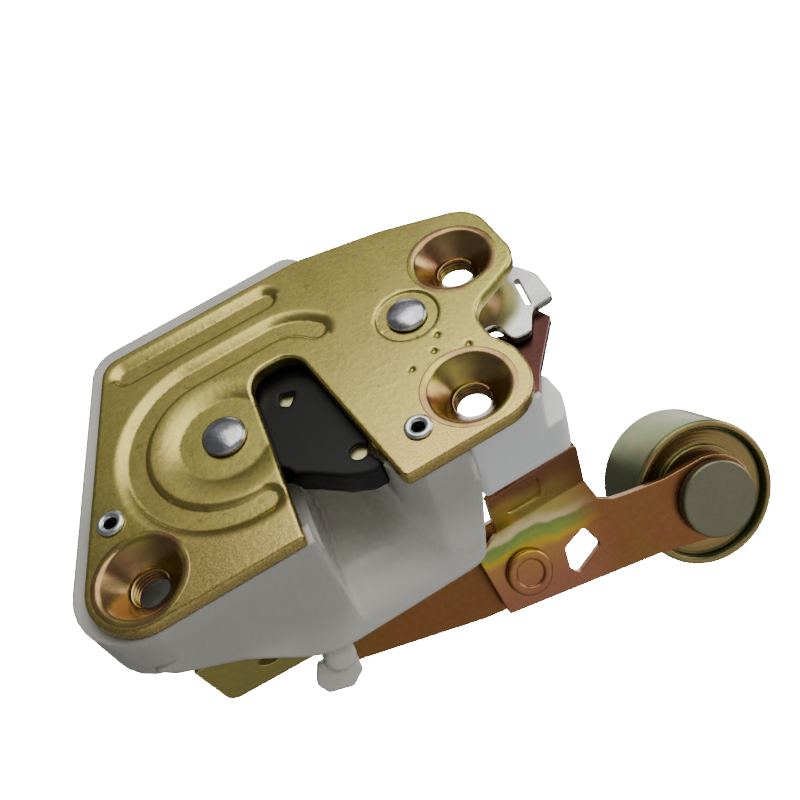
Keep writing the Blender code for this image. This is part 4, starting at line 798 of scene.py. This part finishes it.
def face_depth(points):
    """How deep each point of the front face lies behind the mounting plane."""
    depth = np.zeros(len(points))
    for path in RIB_PATHS:
        distance, side = off_line(points, path)
        width = np.where(side > 0, OUTER_ROLL, INNER_ROLL)
        depth = np.maximum(depth, RIB_DEPTH * roll_in(np.maximum(distance - RIB_FLOOR, 0), width))
    claw = from_place(points, CLAW_PLACE)
    dish = PAD_DEPTH * roll_in(np.maximum(claw - PAD_RADIUS, 0), DISH_RADIUS - PAD_RADIUS)
    depth = np.maximum(depth, dish)
    pawl = from_place(points, PAWL_PLACE)
    pad = PAWL_PAD_DEPTH * roll_in(np.maximum(pawl - PAWL_PAD_RADIUS + PAWL_ROLL, 0), PAWL_ROLL)
    depth = np.maximum(depth, pad)
    for place in DOT_PLACES:
        depth += DOT_DEPTH * roll_in(np.maximum(from_place(points, place) - DOT_FLAT, 0), DOT_ROLL)
    edge, _ = off_line(points, EDGE_LOOP)
    short = np.clip(EDGE_ROLL - edge, 0, EDGE_ROLL)
    depth += EDGE_ROLL - np.sqrt(EDGE_ROLL**2 - short**2)
    return depth


def beside(line, offset):
    """A copy of a line, moved sideways to its left."""
    run = np.gradient(line, axis=0)
    run /= np.hypot(run[:, 0], run[:, 1])[:, None]
    return line + np.stack((-run[:, 1], run[:, 0]), axis=1) * offset


def form_rows():
    """Rows of points along the ribs, the dish, the pads, the dots and the outer edge."""
    rows = []
    edge_and_ends = np.vstack((PLATE_EDGE[-1:], EDGE_LOOP))
    for inset in (0.05, 0.14, 0.26, 0.42, EDGE_ROLL, 0.85):
        rows.append(beside(edge_and_ends, inset)[1:-1])
    rib_steps = (0, 0.45, 0.9, 1.35, RIB_FLOOR, 2.0, 2.3, 2.6, 2.9, 3.3, 3.7, RIB_FLOOR + OUTER_ROLL)
    for path in RIB_PATHS:
        first = math.degrees(math.atan2(*(path[1] - path[0])[::-1]))
        last = math.degrees(math.atan2(*(path[-1] - path[-2])[::-1]))
        for step in rib_steps:
            rows.append(beside(path, step))
            if step <= RIB_FLOOR + INNER_ROLL + 0.2:
                rows.append(beside(path, -step))
            if step > 0:
                rows.append(ring_points(path[0], step, POINT_GAP, first + 90, first + 270))
                rows.append(ring_points(path[-1], step, POINT_GAP, last - 90, last + 90))
    for radius in np.linspace(PAD_RADIUS, DISH_RADIUS, 13):
        rows.append(ring_points(CLAW_PLACE, radius))
    for radius in np.linspace(PAWL_PAD_RADIUS - PAWL_ROLL, PAWL_PAD_RADIUS, 4):
        rows.append(ring_points(PAWL_PLACE, radius, 0.3))
    for place in DOT_PLACES:
        for radius in (0.05, 0.3, 0.42, 0.54, 0.65):
            rows.append(ring_points(place, radius, 0.15))
    return np.vstack(rows)


print("deepest point of the face:", round(float(face_depth(RIB_PATHS[0]).max()), 2), "mm")

# %% Points and triangles of the face
GRID_LOW, GRID_HIGH = (-58, -18), (38, 38)
GRID_STEP = (0.6, 0.52)


def thin_out(points, cell):
    """One point for each small square cell, the first that falls in it."""
    _, first = np.unique(np.round(points / cell).astype(int), axis=0, return_index=True)
    return points[np.sort(first)]


def spread_points():
    """The rows of the forms and a staggered grid between them, kept off the edge and the holes."""
    columns = np.arange(GRID_LOW[0], GRID_HIGH[0], GRID_STEP[0])
    heights = np.arange(GRID_LOW[1], GRID_HIGH[1], GRID_STEP[1])
    grid = [(x + GRID_STEP[0] / 2 * (row % 2), z) for row, z in enumerate(heights) for x in columns]
    spread = np.vstack((form_rows(), np.array(grid)))
    keep = inside(spread, PLATE_EDGE)
    for place, radius in HOLES:
        keep &= from_place(spread, place) > radius + 0.12
    edge, _ = off_line(spread, EDGE_LOOP)
    return thin_out(spread[keep & (edge > 0.03)], 0.2)


def face_triangles():
    """The face's points and the triangles that lie inside its outline and outside its holes."""
    points = [Vector(p) for p in spread_points()]
    edges = []
    for loop in [PLATE_EDGE] + [ring_points(place, radius) for place, radius in HOLES]:
        first = len(points)
        points += [Vector(p) for p in loop]
        edges += [(first + i, first + (i + 1) % len(loop)) for i in range(len(loop))]
    flat, _, faces, _, _, _ = delaunay_2d_cdt(points, edges, [], 0, 1e-5)
    flat = np.array([tuple(p) for p in flat])
    faces = np.array([face for face in faces if len(face) == 3])
    middles = flat[faces].mean(axis=1)
    solid = inside(middles, PLATE_EDGE)
    for place, radius in HOLES:
        solid &= from_place(middles, place) > radius - 0.02
    return flat, faces[solid]


FACE_POINTS, FACE_TRIANGLES = face_triangles()
print("face points:", len(FACE_POINTS), "face triangles:", len(FACE_TRIANGLES))

# %% Mesh of the plate
shape = bmesh.new()
corners = [
    shape.verts.new((x * MM, y * MM, z * MM)) for (x, z), y in zip(FACE_POINTS, face_depth(FACE_POINTS))
]
for triangle in FACE_TRIANGLES:
    shape.faces.new([corners[i] for i in triangle])
bmesh.ops.delete(shape, geom=[v for v in shape.verts if not v.link_faces], context="VERTS")
open_edges = [e for e in shape.edges if e.is_boundary]
walls = bmesh.ops.extrude_edge_only(shape, edges=open_edges)["geom"]
for vert in (item for item in walls if isinstance(item, bmesh.types.BMVert)):
    vert.co.y = PLATE_GAUGE * MM
rear = [item for item in walls if isinstance(item, bmesh.types.BMEdge) and item.is_boundary]
bmesh.ops.triangle_fill(shape, edges=rear, use_beauty=True, use_dissolve=False)
bmesh.ops.recalc_face_normals(shape, faces=shape.faces)
print("open edges:", sum(1 for e in shape.edges if e.is_boundary), "faces:", len(shape.faces))
plate = piece_from(shape, "face_plate_skin", face_zinc, SHEET_SHARP)
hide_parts("face_plate")
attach(plate, "frame")

# %% [markdown]
# ## Round pieces
# Rivets, screw cones and the roller are turned again with 64 to 128 facets. A half-section is drawn as
# points of radius and depth, and `bmesh.ops.spin` sweeps it round. The plane matrix puts the result in its
# place: FACE has its axis along +Y, through the face plate, and SHEET has it square to the lever's sheet.

# %% Turning helper
FACE = Matrix(((1, 0, 0, 0), (0, 0, 1, 0), (0, 1, 0, 0), (0, 0, 0, 1)))
FACETS, RIVET_FACETS, ROLLER_FACETS = 96, 64, 128


def turned(name, section, place, plane, paint, steps=FACETS):
    """A half-section of (radius, depth) points in millimetres, spun about a place on a plane."""
    shape = bmesh.new()
    ring = [shape.verts.new((r * MM, 0, d * MM)) for r, d in section]
    edges = [shape.edges.new(pair) for pair in zip(ring, ring[1:])]
    if section[0][0] > 0:
        edges.append(shape.edges.new((ring[-1], ring[0])))
    bmesh.ops.spin(
        shape,
        geom=ring + edges,
        cent=(0, 0, 0),
        axis=(0, 0, 1),
        angle=math.tau,
        steps=steps,
        use_merge=True,
    )
    bmesh.ops.remove_doubles(shape, verts=shape.verts, dist=0.001 * MM)
    moved = plane @ Matrix.Translation((place[0] * MM, place[1] * MM, 0))
    bmesh.ops.transform(shape, matrix=moved, verts=shape.verts)
    bmesh.ops.recalc_face_normals(shape, faces=shape.faces)
    return piece_from(shape, name, paint, ROUND_SHARP)


def round_corner(centre, radius, start, end, count=6):
    """Points along an arc of a half-section, in degrees, both ends included."""
    points = []
    for i in range(count + 1):
        angle = math.radians(start + (end - start) * i / count)
        points.append((centre[0] + radius * math.cos(angle), centre[1] + radius * math.sin(angle)))
    return points


print("a turned ring of 14 mm is within", round(7 * (1 - math.cos(math.pi / FACETS)), 4), "mm of round")

# %% [markdown]
# ## Screw cones and their threads
# Each cone was drawn out of the plate by a punch, so its rim rolls over gently before the 45 degree
# slope. The collar behind it is tapped. The thread is a small triangle spun round with an advance along
# its axis, which is what `dvec` does, so it is a real helix and not a row of rings.

# %% Cones
CONE_SECTION = (
    [(8.4, 0.4), (8.4, -0.02)]
    + round_corner((7.75, 1.27), 1.3, 270, 225, 8)
    + [(3.82, 3.4), (3.42, 3.9), (3.36, 7.0), (5.2, 7.0), (5.2, 5.6), (7.4, 2.6)]
)
for side, place in SCREWS.items():
    cone = turned("screw_cone_" + side, CONE_SECTION, place, FACE, cone_zinc)
    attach(cone, "frame")
print("cones:", len(SCREWS))

# %% Threads


PITCH = 0.8
TURNS = 3.6
THREAD_START = 3.7
THREAD_TOOTH = [(3.5, 0.0), (3.02, PITCH * 0.45), (3.5, PITCH * 0.9)]


def thread(name, place, paint):
    """A triangular ridge that climbs round the tapped collar."""
    shape = bmesh.new()
    ring = [shape.verts.new((r * MM, 0, (THREAD_START + d) * MM)) for r, d in THREAD_TOOTH]
    face = shape.faces.new(ring)
    steps = int(TURNS * 40)
    advance = PITCH * TURNS / steps * MM
    bmesh.ops.spin(
        shape,
        geom=[face, *face.edges, *face.verts],
        cent=(0, 0, 0),
        axis=(0, 0, 1),
        dvec=(0, 0, advance),
        angle=math.tau * TURNS,
        steps=steps,
        use_merge=False,
    )
    moved = FACE @ Matrix.Translation((place[0] * MM, place[1] * MM, 0))
    bmesh.ops.transform(shape, matrix=moved, verts=shape.verts)
    bmesh.ops.remove_doubles(shape, verts=shape.verts, dist=0.0005 * MM)
    bmesh.ops.recalc_face_normals(shape, faces=shape.faces)
    piece = piece_from(shape, name, paint)
    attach(piece, "frame")


for side, place in SCREWS.items():
    thread("screw_thread_" + side, place, cone_zinc)
print("thread length in each collar:", round(PITCH * TURNS, 1), "mm")

# %% [markdown]
# ## Rivets
# The two pivots have low domed heads, peened by a tool, so they are bright and a little uneven. The two
# tubular rivets are rolled over into a smooth ring with a dark bore.

# %% Pivots with domed heads
DOME_RIM = 0.25


def dome(head_radius, height, seat):
    """The front of a domed head, from the middle out to its rim, as half-section points."""
    points = []
    for i in range(9):
        angle = math.radians(90 * i / 8)
        rise = DOME_RIM + (height - DOME_RIM) * math.cos(angle)
        points.append((head_radius * math.sin(angle), seat - rise))
    return points


PIVOTS = {
    "claw_pivot": (CLAW_PLACE, 4.0, 1.7, 0.4, 3.6, 21.6),
    "pawl_pivot": (PAWL_PLACE, 3.75, 1.4, 0.15, 3.0, 18.0),
}
for node, (place, head, height, seat, shank, rear) in PIVOTS.items():
    section = dome(head, height, seat)
    section += [(head, seat - 0.05), (shank, seat - 0.05), (shank, rear), (shank + 1.2, rear)]
    section += round_corner((shank + 0.7, rear + 0.7), 0.5, 0, 90, 4) + [(0, rear + 1.35)]
    pivot = turned(node + "_turned", section, place, FACE, rivet_steel)
    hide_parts(node)
    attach(pivot, "frame")
print("pivots:", sorted(PIVOTS))

# %% Tubular rivets
for node, place in RIVETS.items():
    section = [(1.1, 10.2), (1.1, 0.2)] + round_corner((1.82, 0.0), 0.72, 180, 330, 10)
    section += [(2.42, -0.12), (1.7, -0.1), (1.7, 10.2)]
    rivet = turned(node + "_turned", section, place, FACE, bare_zinc, RIVET_FACETS)
    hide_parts(node)
    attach(rivet, "frame")
print("tubular rivets:", sorted(RIVETS))

# %% [markdown]
# ## The roller
# The roller is a turned drum with a rounded rim, a shallow recess and a stepped hub on each end. Its pin
# has a broad flat head with a rounded edge, riveted through the lever. The lever's stud has a hollow head,
# with a rounded ring round it.

# %% Roller, pin and lever stud
roller_section = (
    [(5.9, 4.4), (9.2, 4.4)]
    + round_corner((9.4, 4.7), 0.3, 270, 360, 4)
    + [(9.8, 5.5), (12.6, 5.5), (13.0, 5.2), (13.2, 3.9)]
    + round_corner((14.05, 4.1), 0.8, 180, 360, 14)
    + [(14.85, 19.2)]
    + round_corner((14.35, 19.3), 0.5, 0, 90, 4)
    + [(13.2, 19.8), (12.8, 17.4), (9.6, 17.4), (9.3, 19.2), (5.9, 19.2)]
)
roller = turned("roller_turned", roller_section, (ROLLER_U, ROLLER_V), SHEET, roller_zinc, ROLLER_FACETS)
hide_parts("roller")
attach(roller, "roller")
pin_section = (
    [(0, -2.35), (7.2, -2.35)]
    + round_corner((7.25, -1.8), 0.55, 270, 360, 5)
    + [(7.8, -0.3), (4.0, -0.3), (4.0, 20.1), (6.2, 20.1), (5.8, 21.6), (0, 21.8)]
)
pin = turned("roller_pin_turned", pin_section, (ROLLER_U, ROLLER_V), SHEET, pin_steel)
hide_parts("roller_pin")
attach(pin, "roller_lever")
stud_section = (
    [(0, -0.95), (2.3, -0.95)]
    + round_corner((3.2, -0.95), 0.55, 180, 270, 4)
    + round_corner((3.9, -0.85), 0.65, 270, 360, 6)
    + [(4.6, -0.3), (3.0, -0.3), (3.0, 1.9), (4.4, 1.9), (4.4, 3.3), (3.0, 3.3), (3.0, 10.8)]
    + [(4.8, 10.8), (4.4, 11.8), (0, 12.0)]
)
STUD_PLACE = (13.4, 10.0)
stud = turned("lever_stud_turned", stud_section, STUD_PLACE, SHEET, lever_zinc)
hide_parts("lever_pivot")
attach(stud, "frame")
print("roller facets:", len(roller.data.polygons))
